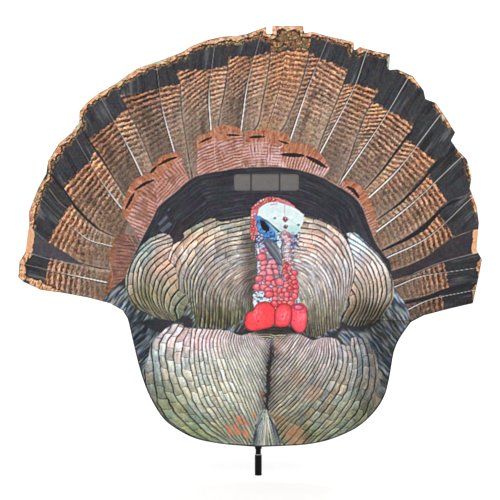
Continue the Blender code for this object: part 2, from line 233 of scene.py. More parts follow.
def stroke(picture, points, width, colour, strength=1.0, soft=0.8, taper=0.0):
    """A line of print, thinner towards its end by the taper."""
    line = smooth_line(points)
    p = picture.around(line, width + 3)
    side, along = measure(line, p.x, p.z)
    length = length_of(line)
    half = 0.5 * width * (1 - taper * np.clip(along / length, 0, 1))
    body = 1 - ease(half - soft, half + soft, np.abs(side))
    ends = ease(-1.0, 1.0, along) * (1 - ease(length - 1.0, length + 1.0, along))
    p.lay(colour, body * ends * strength)


def fill(picture, points, colour, soft=1.2, strength=1.0, ragged=0.0, seed=1, curved=False):
    """A patch of one colour with a soft or ragged outline."""
    outline = np.array(points, float)
    if curved:
        outline = closed_line(points)
    p = picture.around(outline, soft + ragged + 2)
    d = edge_distance(outline, p.x, p.z) + ragged * cloud(p.x / 4, p.z / 4, seed)
    p.lay(colour, ease(-soft, soft, d) * strength)
    return p


# ------------------------------------------------------------------ the print: the tail fan
PALE_ORANGE = (226, 166, 124)
RUST = (202, 140, 108)
BAR_DARK = (80, 62, 54)
OLIVE = (118, 98, 84)
TAN = (166, 138, 120)
CHARCOAL = (60, 58, 61)
GAP_BLACK = (40, 38, 42)
QUILL_WHITE = (222, 216, 212)
FEATHER_INK = (38, 38, 42)


def tail_feather(picture, rim, left, quill, right, band, strip, bars, seed, slant=(0.0, 0.0), warm=0.0,
                 dim=1.0, vanes=(1.0, 1.0), line=1.9):
    """One tail feather between its left and right edges, tip first. band holds the inner edge of the
    charcoal at the two sides, strip the widths of the pale tip and of its mottled border, bars the period
    and the contrast of the bars, and vanes the brightness of the two sides."""
    edge_l, edge_r = smooth_line(left), smooth_line(right)
    outline = np.vstack([edge_l, edge_r[::-1]])
    p = picture.around(outline, 3)
    tip_rim = rim.around(outline, 3).rgb[..., 0]
    mask = ease(-0.7, 0.7, edge_distance(outline, p.x, p.z))
    shaft = smooth_line(quill)
    start = shaft[0] + (shaft[0] - shaft[3]) / np.linalg.norm(shaft[0] - shaft[3]) * 60
    shaft = np.vstack([start, shaft])
    side, along = measure(shaft, p.x, p.z)
    to_left = np.abs(measure(edge_l, p.x, p.z)[0])
    to_right = np.abs(measure(edge_r, p.x, p.z)[0])
    edge = np.where(side < 0, to_left, to_right)
    across = np.abs(side) / (np.abs(side) + edge + 1e-6)
    ends = [measure(shaft, np.array([b[0]]), np.array([b[1]]))[1][0] for b in band]
    length = length_of(shaft)
    band_at = np.where(side < 0, ends[0] * across + (ends[0] + ends[1]) / 2 * (1 - across),
                       ends[1] * across + (ends[0] + ends[1]) / 2 * (1 - across))
    deep = along - band_at
    inner = np.clip(deep / (length - band_at), 0, 1.2)
    vane = np.where(side < 0, vanes[0], vanes[1])
    tilt = np.where(side < 0, slant[0], slant[1]) + 0.12
    period, contrast = bars[0] * 1.04, bars[1]
    wave = 0.26 * cloud(side / 26 + 5 * (side < 0), along / 34, seed)
    wave = wave + 0.09 * noise(side / 6, along / 5, seed + 3)
    phase = (deep - tilt * np.abs(side)) / period + wave
    grit = noise(side / 3.2, along / 2.4, seed + 10)
    bar = ease(0.36, 0.82, crests(phase + 0.13 * grit))
    row = np.floor(phase + 0.5)
    each = hashed(row, side < 0, seed + 5) - 0.5
    barbs = noise((along - 0.6 * np.abs(side)) / 1.5, side / 10, seed + 7)
    speck = noise(side / 1.5, along / 1.5, seed + 9)
    patchy = 0.5 + 0.5 * cloud(side / 14, along / 26, seed + 11)
    hold = contrast * (1 - 0.62 * ease(0.22, 0.85, inner)) * (0.46 + 0.70 * patchy)
    bright = ramp(inner + 0.10 * grit, (0.0, RUST), (0.35, between(RUST, TAN, 0.5)), (0.75, TAN),
                  (1.1, between(TAN, OLIVE, 0.45)))
    dark = ramp(inner, (0.0, BAR_DARK), (0.5, between(BAR_DARK, OLIVE, 0.25)),
                (1.0, between(BAR_DARK, OLIVE, 0.6)))
    middle = mixed(bright, dark, 0.50)
    share = (bar - 0.44 + 0.30 * each) * hold * (1 + 0.5 * cloud(side / 5, along / 5, seed + 33))
    share = share + 0.30 * speck + 0.32 * grit + 0.10 * barbs
    colour = middle + (bright - dark) * share[..., None]
    colour += np.array([11, 2, -5]) * (warm + 0.8 * cloud(side / 26, along / 34, seed + 13))[..., None]
    colour = colour * (1 + 0.10 * cloud(side / 10, along / 60, seed + 14))[..., None]
    pale = ease(0.55, 1.0, across + 0.12 * grit) * (0.12 + 0.42 * ease(0.15, 0.8, inner))
    pale = pale * ease(0.9, 1.1, vane + 0.1) * (0.7 + 0.5 * cloud(side / 3, along / 30, seed + 43))
    colour = mixed(colour, (182, 158, 142), np.clip(pale, 0, 1)) * vane[..., None]
    dusk = 0.45 * ease(0.25, 0.8, cloud(side / 12, along / 40, seed + 45)) * ease(0.1, 0.3, inner)
    colour = mixed(colour, (70, 58, 48), dusk)
    ragged = 2.2 * cloud(side / 4, along / 9, seed + 15) + 1.3 * grit
    # Painted light: highlights and shade of cloth folds over the charcoal band, streaked along the feather.
    folds = cloud(side / 9, along / 60, seed + 17)
    charcoal_with_fold_light = np.array(CHARCOAL, float) + 34 * ease(0.25, 0.95, folds)[..., None]
    charcoal_with_fold_light = charcoal_with_fold_light - 16 * ease(0.1, 0.8, -folds)[..., None] + (4 * barbs + 4 * speck)[..., None]
    colour = mixed(colour, charcoal_with_fold_light, 1 - ease(-2.0, 2.0, deep + ragged))
    tip_wave = tip_rim + 4.2 * cloud(side / 11, along / 14, seed + 19) + 1.2 * grit + 1.0
    tip_wave = tip_wave + 0.3 * np.maximum(0, along - 80)
    to_the_right = quill[0][0] > 140
    if to_the_right:
        tip_wave = tip_wave + 9.0 * ease(0.35, 0.95, across) * (side < 0)
        tip_wave = tip_wave + 13.0 * ease(0.45, 1.0, across) * (side > 0)
    fleck = cloud(side / 2.6, along / 2.2, seed + 21, 2)
    reach = 1 - ease(strip[1] - 5, strip[1] + 1, tip_wave)
    mottle = mixed((140, 96, 66), (118, 108, 78), ease(-0.2, 0.4, cloud(side / 7, along / 5, seed + 35)))
    colour = mixed(colour, mottle, 0.9 * reach * ease(-0.35, 0.15, fleck + (strip[1] - tip_wave) / 12))
    colour = mixed(colour, (214, 150, 106),
                   0.75 * reach * ease(0.1, 0.4, cloud(side / 4, along / 3, seed + 37)))
    dark_fleck = 0.80 * reach * ease(0.10, 0.45, -fleck) * ease(strip[0] - 2, strip[0] + 1, tip_wave)
    colour = mixed(colour, (40, 34, 30), dark_fleck)
    tip = ramp(cloud(side / 6, along / 4, seed + 23), (-0.8, (192, 122, 82)), (0.0, PALE_ORANGE),
               (0.8, (240, 196, 158)))
    tip = mixed(tip, (150, 100, 70), 0.8 * ease(0.05, 0.5, cloud(side / 5, along / 2.4, seed + 25, 2)))
    tip = mixed(tip, (90, 84, 58), 0.7 * ease(0.25, 0.6, cloud(side / 9, along / 3.4, seed + 39, 2)))
    # Patchy dark marks along the cloth's cut edge.
    dark_edge_marks = 0.65 * (1 - ease(0.5, 1.8, tip_rim)) * ease(-0.3, 0.2, cloud(side / 8, along / 9, seed + 41))
    tip = mixed(tip, (58, 44, 38), dark_edge_marks)
    colour = mixed(colour, tip, 1 - ease(strip[0] - 1.2, strip[0] + 1.0, tip_wave))
    colour = mixed(colour, (44, 36, 32), 0.75 * (1 - ease(0.6, 1.9, np.abs(tip_wave - strip[0] - 0.4))))
    colour = colour * (dim + 0.06 * noise(side / 2.2, along / 90, seed + 27))[..., None]
    p.lay(colour, mask)
    fringe = (1 - ease(1.6, 4.4, edge + 1.2 * grit)) * mask * ease(0, 14, deep)
    fringe = fringe * (0.5 + 0.5 * cloud(side / 4, along / 12, seed + 31))
    p.lay(between(TAN, QUILL_WHITE, 0.25), 0.45 * np.clip(fringe, 0, 1))
    thin = (1 - ease(0.4, 1.9, edge)) * mask * ease(-30, 10, deep)
    p.lay((48, 40, 38), thin * (0.62 + 0.38 * noise(along / 14, side * 0, seed + 29)))
    low = 0.62 if to_the_right else 0.34
    glow = (low + (1 - low) * ease(0.10, 0.65, inner)) * mask * ease(ends[0] * 0.3, ends[0] * 0.3 + 12, along)
    width = 0.5 * line * (0.60 + 0.38 * ease(0, 1, inner))
    p.lay((58, 48, 42), (1 - ease(width, width + 1.3, np.abs(side + 0.9))) * glow * 0.75)
    p.lay(QUILL_WHITE, (1 - ease(width - 0.5, width + 0.5, np.abs(side))) * glow)


def wedge(picture, rim, points, strip, tone, seed):
    """A dark gap or a hidden feather between two tail feathers, with a pale tip where it reaches the hem."""
    outline = np.array(points, float)
    p = picture.around(outline, 3)
    tip = rim.around(outline, 3).rgb[..., 0] + 1.5 * cloud(p.x / 6, p.z / 6, seed)
    colour = np.asarray(tone, float) + 5 * cloud(p.x / 7, p.z / 7, seed + 1)[..., None]
    colour = mixed(colour, np.asarray(PALE_ORANGE, float) + 10 * cloud(p.x / 4, p.z / 4, seed + 2)[..., None],
                   1 - ease(strip - 1, strip + 1, tip))
    p.lay(colour, ease(-0.8, 0.8, edge_distance(outline, p.x, p.z)))


UNDERSIDE = [(-405, 285), (-330, 280), (-245, 270)]
EDGE_FE = [(-405, 374), (-378, 367), (-335, 358), (-292, 347), (-236, 338)]
EDGE_ED = [(-408, 440), (-377, 414), (-360, 389), (-346, 384), (-317, 366), (-288, 348), (-236, 338)]
EDGE_DC = [(-372, 520), (-348, 500), (-337, 489), (-320, 467), (-302, 441), (-281, 420), (-263, 406),
           (-225, 388)]
EDGE_CB = [(-312, 600), (-296, 582), (-291, 573), (-281, 552), (-257, 519), (-230, 477), (-205, 440)]
EDGE_BA = [(-253, 668), (-237, 640), (-221, 615), (-209, 591), (-194, 561), (-177, 519), (-165, 490)]
EDGE_AH = [(-155, 712), (-145, 681), (-136, 662), (-129, 645), (-127, 611), (-122, 569), (-108, 485)]
EDGE_HI = [(-53, 742), (-54, 719), (-52, 704), (-50, 674), (-56, 632), (-64, 590), (-67, 560), (-67, 500)]
EDGE_IC = [(20, 748), (20, 704), (15, 658), (6, 611), (0, 580), (-12, 558), (-22, 500)]
EDGE_CJ = [(89, 748), (83, 693), (66, 632), (45, 580), (33, 558), (26, 500)]
EDGE_JK = [(162, 738), (156, 706), (149, 673), (137, 636), (121, 597), (103, 551), (92, 520), (78, 488)]
EDGE_KL = [(230, 692), (216, 668), (198, 633), (176, 594), (158, 545), (143, 502), (128, 466)]
EDGE_LM = [(290, 645), (274, 619), (258, 590), (249, 563), (207, 505), (176, 472), (148, 446)]
EDGE_MN = [(335, 572), (319, 550), (310, 530), (295, 520), (268, 490), (231, 447), (193, 420), (176, 408)]
EDGE_NO = [(366, 476), (344, 463), (310, 450), (280, 420), (243, 393), (201, 370), (186, 360)]
EDGE_OP = [(380, 408), (356, 405), (316, 390), (280, 362), (250, 347), (216, 335), (196, 328)]
EDGE_PO = [(385, 373), (355, 365), (298, 350), (256, 332), (219, 323), (196, 316)]
EDGE_PQ = [(385, 322), (353, 317), (310, 308), (274, 295), (231, 286), (205, 278)]
RIGHT_UNDERSIDE = [(385, 280), (320, 270), (240, 245)]
DARK_GREEN = (58, 60, 50)
ARCH_EDGE = [(-262, 250), (-254, 291), (-219, 327), (-215, 338), (-200, 373), (-189, 395), (-173, 426),
             (-163, 445), (-136, 468), (-105, 492), (-63, 502), (-14, 508), (39, 508), (91, 497),
             (133, 476), (165, 452), (181, 416), (194, 384), (210, 360), (217, 352), (223, 311), (238, 290),
             (249, 267), (255, 240)]
HEART = (14.0, 330.0)


def paint_fan(picture, rim):
    """The spread tail, one feather after another, with the dark gaps that part them."""
    p = picture.around([(-400, 250), (400, 745)])
    p.lay(mixed(OLIVE, TAN, 0.5 + 0.5 * cloud(p.x / 6, p.z / 6, 3)))
    tail_feather(picture, rim, UNDERSIDE, [(-372, 345), (-310, 331), (-248, 318)], EDGE_FE,
                 [(-351, 328), (-344, 350)], (13, 12), (8.6, 1.0), 11, slant=(0.1, -0.1), warm=0.5,
                 vanes=(0.94, 1.04))
    wedge(picture, rim, EDGE_FE[:4] + EDGE_ED[5::-1], 11, tone=(76, 71, 76), seed=5)
    tail_feather(picture, rim, EDGE_ED, [(-352, 450), (-330, 428), (-302, 405), (-278, 388), (-246, 379)],
                 EDGE_DC, [(-340, 396), (-318, 436)], (9, 15), (9.0, 1.0), 23, warm=0.8, line=1.3,
                 vanes=(0.96, 1.06))
    tail_feather(picture, rim, EDGE_DC, [(-302, 558), (-257, 483), (-203, 413)], EDGE_CB,
                 [(-316, 480), (-277, 531)], (9, 16), (8.6, 1.05), 37, slant=(0.0, 0.1), warm=0.8,
                 vanes=(0.90, 1.10))
    tail_feather(picture, rim, EDGE_CB, [(-249, 604), (-215, 543), (-191, 494)], EDGE_BA,
                 [(-272, 557), (-212, 606)], (8, 14), (8.4, 1.0), 41, slant=(0.0, 0.3), warm=0.4,
                 vanes=(0.84, 1.08))
    tail_feather(picture, rim, EDGE_BA, [(-166, 663), (-157, 601), (-138, 532)], EDGE_AH,
                 [(-196, 628), (-136, 646)], (8, 14), (7.8, 0.95), 59, warm=0.0, vanes=(0.86, 1.06))
    tail_feather(picture, rim, EDGE_AH, [(-74, 691), (-81, 628), (-78, 570)], EDGE_HI,
                 [(-120, 664), (-70, 678)], (8, 15), (7.6, 0.95), 61, slant=(0.42, 0.0), warm=0.1,
                 vanes=(0.96, 1.12))
    tail_feather(picture, rim, EDGE_HI, [(-2, 704), (-17, 649), (-28, 572)], EDGE_IC,
                 [(-46, 688), (10, 700)], (7, 18), (8.0, 0.85), 71, slant=(0.5, -0.3), warm=0.4,
                 vanes=(0.98, 1.12))
    tail_feather(picture, rim, EDGE_IC, [(48, 722), (36, 640), (10, 556)], EDGE_CJ,
                 [(22, 696), (74, 700)], (8, 34), (8.0, 0.7), 83, slant=(0.3, 0.0), warm=0.9, line=0.0,
                 vanes=(1.10, 1.14))
    tail_feather(picture, rim, EDGE_CJ, [(111, 710), (82, 639), (53, 554)], EDGE_JK,
                 [(95, 690), (148, 668)], (7, 14), (8.0, 0.85), 97, slant=(0.42, 0.0), warm=0.2, line=2.1,
                 vanes=(1.02, 1.12))
    tail_feather(picture, rim, EDGE_JK, [(173, 682), (155, 633), (100, 527)], EDGE_KL,
                 [(136, 646), (196, 637)], (8, 14), (7.8, 0.95), 101, slant=(0.42, 0.0), warm=0.3, line=2.1,
                 vanes=(1.10, 1.00))
    tail_feather(picture, rim, EDGE_KL, [(239, 642), (201, 579), (132, 478)], EDGE_LM,
                 [(190, 614), (248, 584)], (7, 11), (7.8, 1.0), 113, slant=(0.6, 0.0), warm=0.4, line=2.2,
                 vanes=(1.13, 0.98))
    tail_feather(picture, rim, EDGE_LM, [(288, 579), (231, 505), (175, 451)], EDGE_MN,
                 [(246, 552), (290, 520)], (6, 11), (8.2, 1.05), 127, slant=(0.3, 0.0), warm=0.8, line=2.6,
                 vanes=(1.12, 1.00))
    tail_feather(picture, rim, EDGE_MN, [(321, 512), (252, 447), (184, 394)], EDGE_NO,
                 [(285, 492), (306, 458)], (6, 11), (8.4, 1.05), 131, slant=(0.2, 0.0), warm=0.8, line=2.3,
                 vanes=(1.12, 0.97))
    tail_feather(picture, rim, EDGE_NO, [(344, 451), (280, 393), (210, 358)], EDGE_OP,
                 [(300, 430), (320, 396)], (6, 10), (8.4, 1.05), 149, warm=0.8, line=1.8, vanes=(1.04, 0.9))
    wedge(picture, rim, EDGE_OP[:6] + EDGE_PO[4::-1], 8, tone=(60, 54, 58), seed=7)
    tail_feather(picture, rim, EDGE_PO, [(330, 338), (268, 328), (225, 311)], EDGE_PQ,
                 [(306, 350), (312, 312)], (7, 9), (8.4, 0.9), 151, slant=(0.0, -0.1), warm=0.5, dim=0.88,
                 line=1.3)
    tail_feather(picture, rim, EDGE_PQ, [(347, 304), (280, 289), (225, 262)], RIGHT_UNDERSIDE,
                 [(300, 300), (306, 280)], (6, 8), (8.6, 0.8), 163, warm=0.2, dim=0.8, line=1.4)
    for gap in ([(-348, 502), (-337, 488), (-320, 467), (-302, 440), (-281, 419), (-263, 405), (-246, 396),
                 (-263, 408), (-281, 424), (-301, 446), (-319, 472), (-336, 494)],
                [(-297, 580), (-289, 566), (-280, 551), (-256, 518), (-228, 474), (-255, 521), (-283, 561)],
                [(250, 566), (248, 560), (207, 505), (172, 467), (205, 507), (246, 563)],
                [(296, 520), (293, 512), (268, 480), (236, 448), (190, 418), (232, 450), (252, 469),
                 (272, 492)],
                [(340, 458), (308, 442), (274, 404), (243, 386), (199, 367), (200, 370), (241, 391),
                 (270, 411), (302, 442), (318, 453)],
                [(350, 319), (310, 309), (274, 295), (230, 284), (235, 281), (278, 289), (312, 302),
                 (350, 313)]):
        fill(picture, gap, GAP_BLACK, soft=0.9, ragged=0.4, seed=len(gap))
    for thread, tone in (([(-378, 367), (-341, 356), (-290, 346)], (150, 142, 138)),
                         ([(-345, 473), (-326, 449), (-302, 431), (-281, 413)], (150, 128, 106)),
                         ([(355, 366), (300, 351), (256, 333)], (150, 142, 138)),
                         ([(-366, 345), (-340, 335), (-320, 331)], (104, 100, 92))):
        stroke(picture, thread, 1.4, tone, 0.7)


def covert(picture, outline, bars, seed, pink=0.6, across=0.5, bar_width=4.5, rim_width=9.0, dark=0.0):
    """A short feather over the root of the tail: rust border, black bars and a pink lined middle."""
    edge = closed_line(outline, 5.0)
    p = picture.around(edge)
    radius = np.hypot(p.x - HEART[0], p.z - HEART[1])
    turn = np.arctan2(p.z - HEART[1], p.x - HEART[0]) * 190
    depth = edge_distance(edge, p.x, p.z)
    out = radius - np.percentile(radius[depth > 0], 88)
    fine = crests(radius / 5.0 + 0.5 * cloud(turn / 22, radius / 20, seed))
    hair = crests(turn / 4.8 + 0.5 * cloud(turn / 14, radius / 34, seed + 1))
    turned = ease(0.35, 0.65, across + 0.35 * cloud(turn / 26, radius / 26, seed + 15))
    lines = fine * turned + hair * (1 - turned)
    body = mixed((186, 126, 108), (222, 176, 174),
                 pink * ease(-0.4, 0.5, cloud(turn / 22, radius / 16, seed + 2)))
    body = body * (1 + 0.09 * noise(turn / 1.6, radius / 1.6, seed + 9))[..., None]
    drawn = 0.85 * ease(0.50, 0.96, lines) * (0.58 + 0.42 * cloud(turn / 9, radius / 9, seed + 3))
    body = mixed(body, (96, 62, 54), drawn)
    body = mixed(body, (236, 208, 204), 0.55 * ease(0.80, 1.0, 1 - lines) * pink)
    body = mixed(body, (120, 74, 58), 0.5 * ease(0.1, 0.8, cloud(turn / 14, radius / 22, seed + 12)))
    border = np.array((180, 116, 88.)) + 30 * cloud(turn / 2.4, radius / 16, seed + 4)[..., None]
    dark_hairs = ease(0.3, 0.8, noise(turn / 2, radius / 3, seed + 11))
    border = border + np.array((-30, -26, -20.)) * dark_hairs[..., None]
    out = out + 2.2 * cloud(turn / 7, radius / 7, seed + 5)
    colour = mixed(body, border, ease(-rim_width - 3, -rim_width + 2, out))
    colour = mixed(colour, (74, 52, 46), dark * (0.5 + 0.3 * cloud(turn / 8, radius / 14, seed + 6)))
    p.lay(colour, ease(-1.2, 1.2, depth + 0.8 * cloud(turn / 3, radius / 3, seed + 7)))
    for bar in bars:
        line = smooth_line(bar, 2.0)
        q = picture.around(line, 5)
        side, along = measure(line, q.x, q.z)
        length = length_of(line)
        half = 0.5 * bar_width * (0.45 + 0.65 * np.sin(math.pi * np.clip(along / length, 0, 1)))
        body = 1 - ease(half - 0.6, half + 0.6, np.abs(side) + 0.5 * noise(along / 1.5, side / 3, seed + 8))
        q.lay((48, 38, 38), body * ease(-1, 1.5, along) * (1 - ease(length - 1.5, length + 1, along)))


def paint_coverts(picture):
    """The rust feathers around the root of the tail, above the dark band."""
    for outline, bars, looks in (
            ([(-236, 395), (-227, 399), (-210, 396), (-189, 394), (-190, 360), (-212, 330), (-226, 312),
              (-246, 296), (-253, 300), (-246, 329), (-240, 347), (-246, 358), (-239, 381)], [],
             dict(pink=0.0, across=0.1, dark=0.75, rim_width=2)),
            ([(-213, 476), (-203, 488), (-188, 495), (-170, 495), (-160, 459), (-156, 429), (-173, 404),
              (-191, 384), (-203, 404), (-224, 435), (-218, 459)],
             [[(-204, 470), (-186, 481), (-171, 487)], [(-219, 438), (-204, 466)]],
             dict(across=0.25, pink=0.5)),
            ([(-178, 504), (-164, 522), (-146, 531), (-130, 531), (-121, 504), (-112, 477), (-131, 460),
              (-161, 420), (-170, 489)], [[(-165, 511), (-150, 519), (-133, 525)],
                                          [(-178, 498), (-168, 509)]], dict(across=0.5, pink=0.35)),
            ([(-103, 551), (-94, 559), (-84, 565), (-69, 574), (-62, 570), (-62, 496), (-84, 490),
              (-100, 498), (-101, 538)],
             [[(-98, 547), (-87, 553), (-76, 557)]], dict(across=0.9, bar_width=3.4)),
            ([(-69, 575), (-61, 578), (-44, 576), (-31, 572), (-26, 565), (-26, 500), (-52, 497), (-65, 500)],
             [[(-53, 561), (-42, 561), (-31, 560)]], dict(across=0.75, bar_width=3.4)),
            ([(-22, 563), (-10, 568), (6, 571), (23, 566), (25, 505), (-25, 503), (-23, 549)],
             [[(-15, 557), (-2, 558), (11, 558)]], dict(across=0.6, bar_width=4)),
            ([(21, 566), (34, 566), (46, 563), (55, 546), (56, 500), (13, 502)],
             [[(33, 552), (44, 548), (55, 544)]], dict(across=0.3, pink=0.9, bar_width=3.4)),
            ([(36, 538), (44, 545), (59, 548), (76, 546), (93, 539), (107, 525), (117, 505), (101, 490),
              (74, 494), (53, 500), (40, 523)],
             [[(37, 529), (56, 528), (76, 527)], [(78, 526), (94, 518), (113, 507)]],
             dict(across=0.0, pink=0.9, bar_width=6.5, rim_width=11)),
            ([(136, 486), (155, 485), (173, 473), (186, 448), (195, 417), (190, 392), (176, 420),
              (158, 452), (140, 468)],
             [[(145, 476), (156, 470), (166, 457)]], dict(across=0.05, pink=0.2, bar_width=6))):
        covert(picture, outline, bars, 200 + int(abs(outline[0][0])), **looks)
    for light in ([(-72, 572), (-72, 540), (-70, 506)], [(9, 556), (3, 532), (-1, 508)]):
        stroke(picture, light, 1.6, (206, 178, 160), 0.55)
    for streak in ([(-219, 394), (-207, 380)], [(-212, 396), (-199, 372)], [(-203, 396), (-192, 374)],
                   [(-246, 352), (-240, 330), (-244, 312)]):
        stroke(picture, streak, 2.0, (196, 134, 112), 0.7, taper=0.6)


def paint_dark_band(picture):
    """The dark band around the body, with faint curved lines and a thin pale edge against the tail."""
    edge = smooth_line(ARCH_EDGE)
    p = picture.around(edge, 4)
    closed = np.vstack([edge, [(255, 30), (-262, 30)]])
    depth = edge_distance(closed, p.x, p.z)
    side, along = measure(edge, p.x, p.z)
    band = np.array((54.0, 52, 58)) + 8 * noise(side / 2.6, along / 40, 301)[..., None]
    band = band + 16 * ease(0.35, 0.95, noise(side / 1.7, along / 26, 303))[..., None]
    band = band + 3 * cloud(p.x / 30, p.z / 30, 305)[..., None]
    p.lay(band, ease(-0.8, 0.8, depth))
    pale = (0.35 + 0.5 * ease(-0.1, 0.5, cloud(along / 12, side / 4, 307))) * ease(330, 420, p.z)
    p.lay((176, 140, 126), (1 - ease(0.5, 1.5, np.abs(side))) * pale)
    for brush, width in (([(-164, 413), (-150, 427)], 5.0), ([(-160, 402), (-144, 416)], 6.5),
                         ([(-149, 436), (-146, 440)], 2.5)):
        stroke(picture, brush, width, (96, 108, 120), 0.75, soft=1.5)


# ------------------------------------------------------------------ the print: body feathers
def stripes(guides, counts, x, z):
    """The stripe number and the length along the stripe between guide lines drawn side by side."""
    found = [measure(smooth_line(g), x, z) for g in guides]
    number = np.zeros(x.shape)
    along = found[0][1].copy()
    for k in range(len(guides) - 1):
        a, b = found[k], found[k + 1]
        here = a[0] >= 0
        share = np.clip(np.abs(a[0]) / (np.abs(a[0]) + np.abs(b[0]) + 1e-6), 0, 1)
        share = np.where(b[0] >= 0, 1.0, share)
        value = counts[k] + (counts[k + 1] - counts[k]) * share
        number = np.where(here, value, number)
        along = np.where(here, a[1] * (1 - share) + b[1] * share, along)

    def pitch_between(a, b):
        """The width of a stripe between two guides, near their starts."""
        return np.linalg.norm(np.array(guides[a][1]) - guides[b][1]) / max(1e-6, abs(counts[a] - counts[b]))

    first, last = pitch_between(0, 1), pitch_between(-1, -2)
    number = np.where(found[0][0] < 0, counts[0] + found[0][0] / first, number)
    number = np.where(found[-1][0] > 0, counts[-1] + found[-1][0] / last, number)
    return number, along


def plumage(picture, outline, guides, counts, tones, plate, seed, line=1.4, wobble=0.14, fade=None, hair=0.0,
            light=0.0, more=1.0):
    """Overlapping body feathers: dark lines along the guides, and pale plates of many tints between them.
    tones are (height, colour) stops, plate is a plate's length, and fade says how strong the lines are at
    each place."""
    edge = closed_line(outline, 5.0)
    p = picture.around(edge)
    number, along = stripes(guides, [c * more for c in counts], p.x, p.z)
    number = number + wobble * cloud(p.x / 30, p.z / 30, seed, 2) + 0.07 * noise(p.x / 7, p.z / 7, seed + 1)
    gz, gx = np.gradient(number)
    pitch = STEP / np.maximum(np.hypot(gx, gz), 1e-3)
    row = np.floor(number)
    part = number - row
    to_line = np.minimum(part, 1 - part) * np.minimum(pitch, 16)
    place = along / plate + 0.8 * hashed(row, row * 0, seed + 2) + 0.10 * noise(p.x / 7, p.z / 7, seed + 3)
    cell = np.floor(place)
    inner = place - cell
    tint = hashed(row, cell, seed + 4) - 0.5
    hue = hashed(row, cell, seed + 5) - 0.5
    base = ramp(p.z + 5 * noise(p.x / 20, p.z / 20, seed + 6), *tones)
    size = ease(3.5, 8.0, pitch)
    grain = noise(p.x / 1.4, p.z / 1.4, seed + 7) + 0.7 * noise(p.x / 2.8, p.z / 2.8, seed + 14)
    colour = base * (1.03 + (0.26 * tint * (0.35 + 0.65 * size) + 0.060 * grain))[..., None]
    colour = colour + np.array((17.0, 1, -10)) * (hue * (0.3 + size))[..., None]
    colour = colour * (1 + 0.15 * size * (0.5 - inner) + 0.16 * size * (part - 0.5))[..., None]
    seam = (1 - ease(0.0, 1.5, np.minimum(inner, 1 - inner) * plate)) * size
    seam = seam * ease(0.15, 0.45, hashed(row, cell, seed + 8))
    colour = mixed(colour, base * 0.50, 0.65 * seam)
    strength = (0.80 + 0.30 * noise(along / 15, number * 0.8, seed + 9)) * ease(1.5, 4.6, pitch)
    if fade is not None:
        strength = strength * fade(p.x, p.z)
    swell = 0.72 + 0.55 * ease(4, 12, pitch) + 0.35 * noise(along / 9, row, seed + 15)
    half = 0.5 * line * swell
    drawn = 1 - ease(half - 0.45, half + 0.65, to_line)
    halo = 1 - ease(half, half + 3.2, to_line)
    colour = mixed(colour, colour * 0.62, 0.55 * halo * np.clip(strength, 0, 1))
    beside = np.where(part < 0.5, part, 9) * np.minimum(pitch, 16) - half - 1.3
    high = 1 - ease(0.4, 1.5, np.abs(beside))
    colour = mixed(colour, (228, 224, 216), np.clip(light * high * strength * (0.7 + 0.5 * tint), 0, 1))
    colour = mixed(colour, FEATHER_INK, np.clip(drawn * strength, 0, 1) * 0.94)
    if hair:
        strand = noise(number * 2.6, along / 14, seed + 10) + 0.8 * noise(number * 5.2, along / 7, seed + 11)
        amount = hair * (1 - 0.5 * (fade(p.x, p.z) if fade else 0))
        warmth = amount * noise(number * 1.7, along / 20, seed + 12)
        colour = colour * (1 + amount * 0.30 * strand)[..., None] + np.array((7.0, 2, -7)) * warmth[..., None]
    p.lay(colour, ease(-1.2, 1.2, edge_distance(edge, p.x, p.z) + 0.6 * noise(p.x / 3, p.z / 3, seed + 13)))


LEFT_DOME = [(-8, 428), (-61, 418), (-78, 424), (-123, 401), (-122, 393), (-127, 386), (-139, 381),
             (-148, 357), (-137, 347), (-135, 333), (-131, 307), (-116, 297), (-113, 288), (-108, 272),
             (-98, 246), (-61, 242), (-44, 247), (-23, 258), (-6, 275), (2, 333), (-4, 385)]
LEFT_DOME_GUIDES = [[(-12, 431), (-64, 421), (-102, 404), (-130, 381), (-144, 357), (-141, 329)],
                    [(-12, 419), (-61, 407), (-96, 390), (-116, 369), (-132, 343), (-134, 315)],
                    [(-12, 407), (-61, 395), (-89, 378), (-109, 353), (-122, 326), (-120, 298)],
                    [(-12, 385), (-52, 378), (-85, 357), (-104, 329), (-109, 298), (-106, 272)],
                    [(-12, 364), (-44, 357), (-78, 336), (-94, 307), (-97, 263)],
                    [(-12, 350), (-35, 343), (-61, 324), (-75, 298), (-78, 255)],
                    [(-9, 329), (-23, 321), (-38, 303), (-45, 281), (-47, 250)],
                    [(-4, 322), (-14, 310), (-19, 293), (-21, 267)]]
LEFT_WING = [(-165, 397), (-151, 399), (-141, 390), (-142, 378), (-149, 357), (-136, 343), (-132, 319),
             (-130, 305), (-116, 295), (-116, 284), (-123, 267), (-134, 256), (-148, 256), (-172, 262),
             (-199, 274), (-213, 293), (-219, 319), (-213, 343), (-194, 376), (-179, 390)]
LEFT_WING_GUIDES = [[(-158, 393), (-186, 379), (-205, 355), (-215, 326), (-213, 298), (-196, 274),
                     (-172, 262)],
                    [(-141, 388), (-172, 378), (-194, 355), (-202, 333), (-201, 303), (-189, 277),
                     (-170, 265)],
                    [(-141, 379), (-165, 367), (-186, 347), (-193, 322), (-191, 295), (-177, 270)],
                    [(-148, 364), (-170, 347), (-182, 326), (-182, 298), (-172, 274), (-156, 260)],
                    [(-141, 352), (-161, 336), (-172, 315), (-174, 289), (-161, 269)],
                    [(-135, 340), (-154, 326), (-163, 305), (-161, 281), (-149, 260)],
                    [(-132, 324), (-148, 310), (-156, 291), (-151, 270), (-141, 260)],
                    [(-125, 302), (-137, 291), (-144, 274), (-141, 260)]]
RIGHT_DOME = [(70, 428), (105, 421), (133, 404), (145, 388), (151, 373), (158, 357), (159, 333), (154, 310),
              (147, 291), (145, 276), (133, 260), (133, 246), (116, 239), (99, 229), (81, 232), (74, 239),
              (70, 272), (62, 289), (54, 315), (50, 350), (50, 371), (56, 393), (66, 405)]
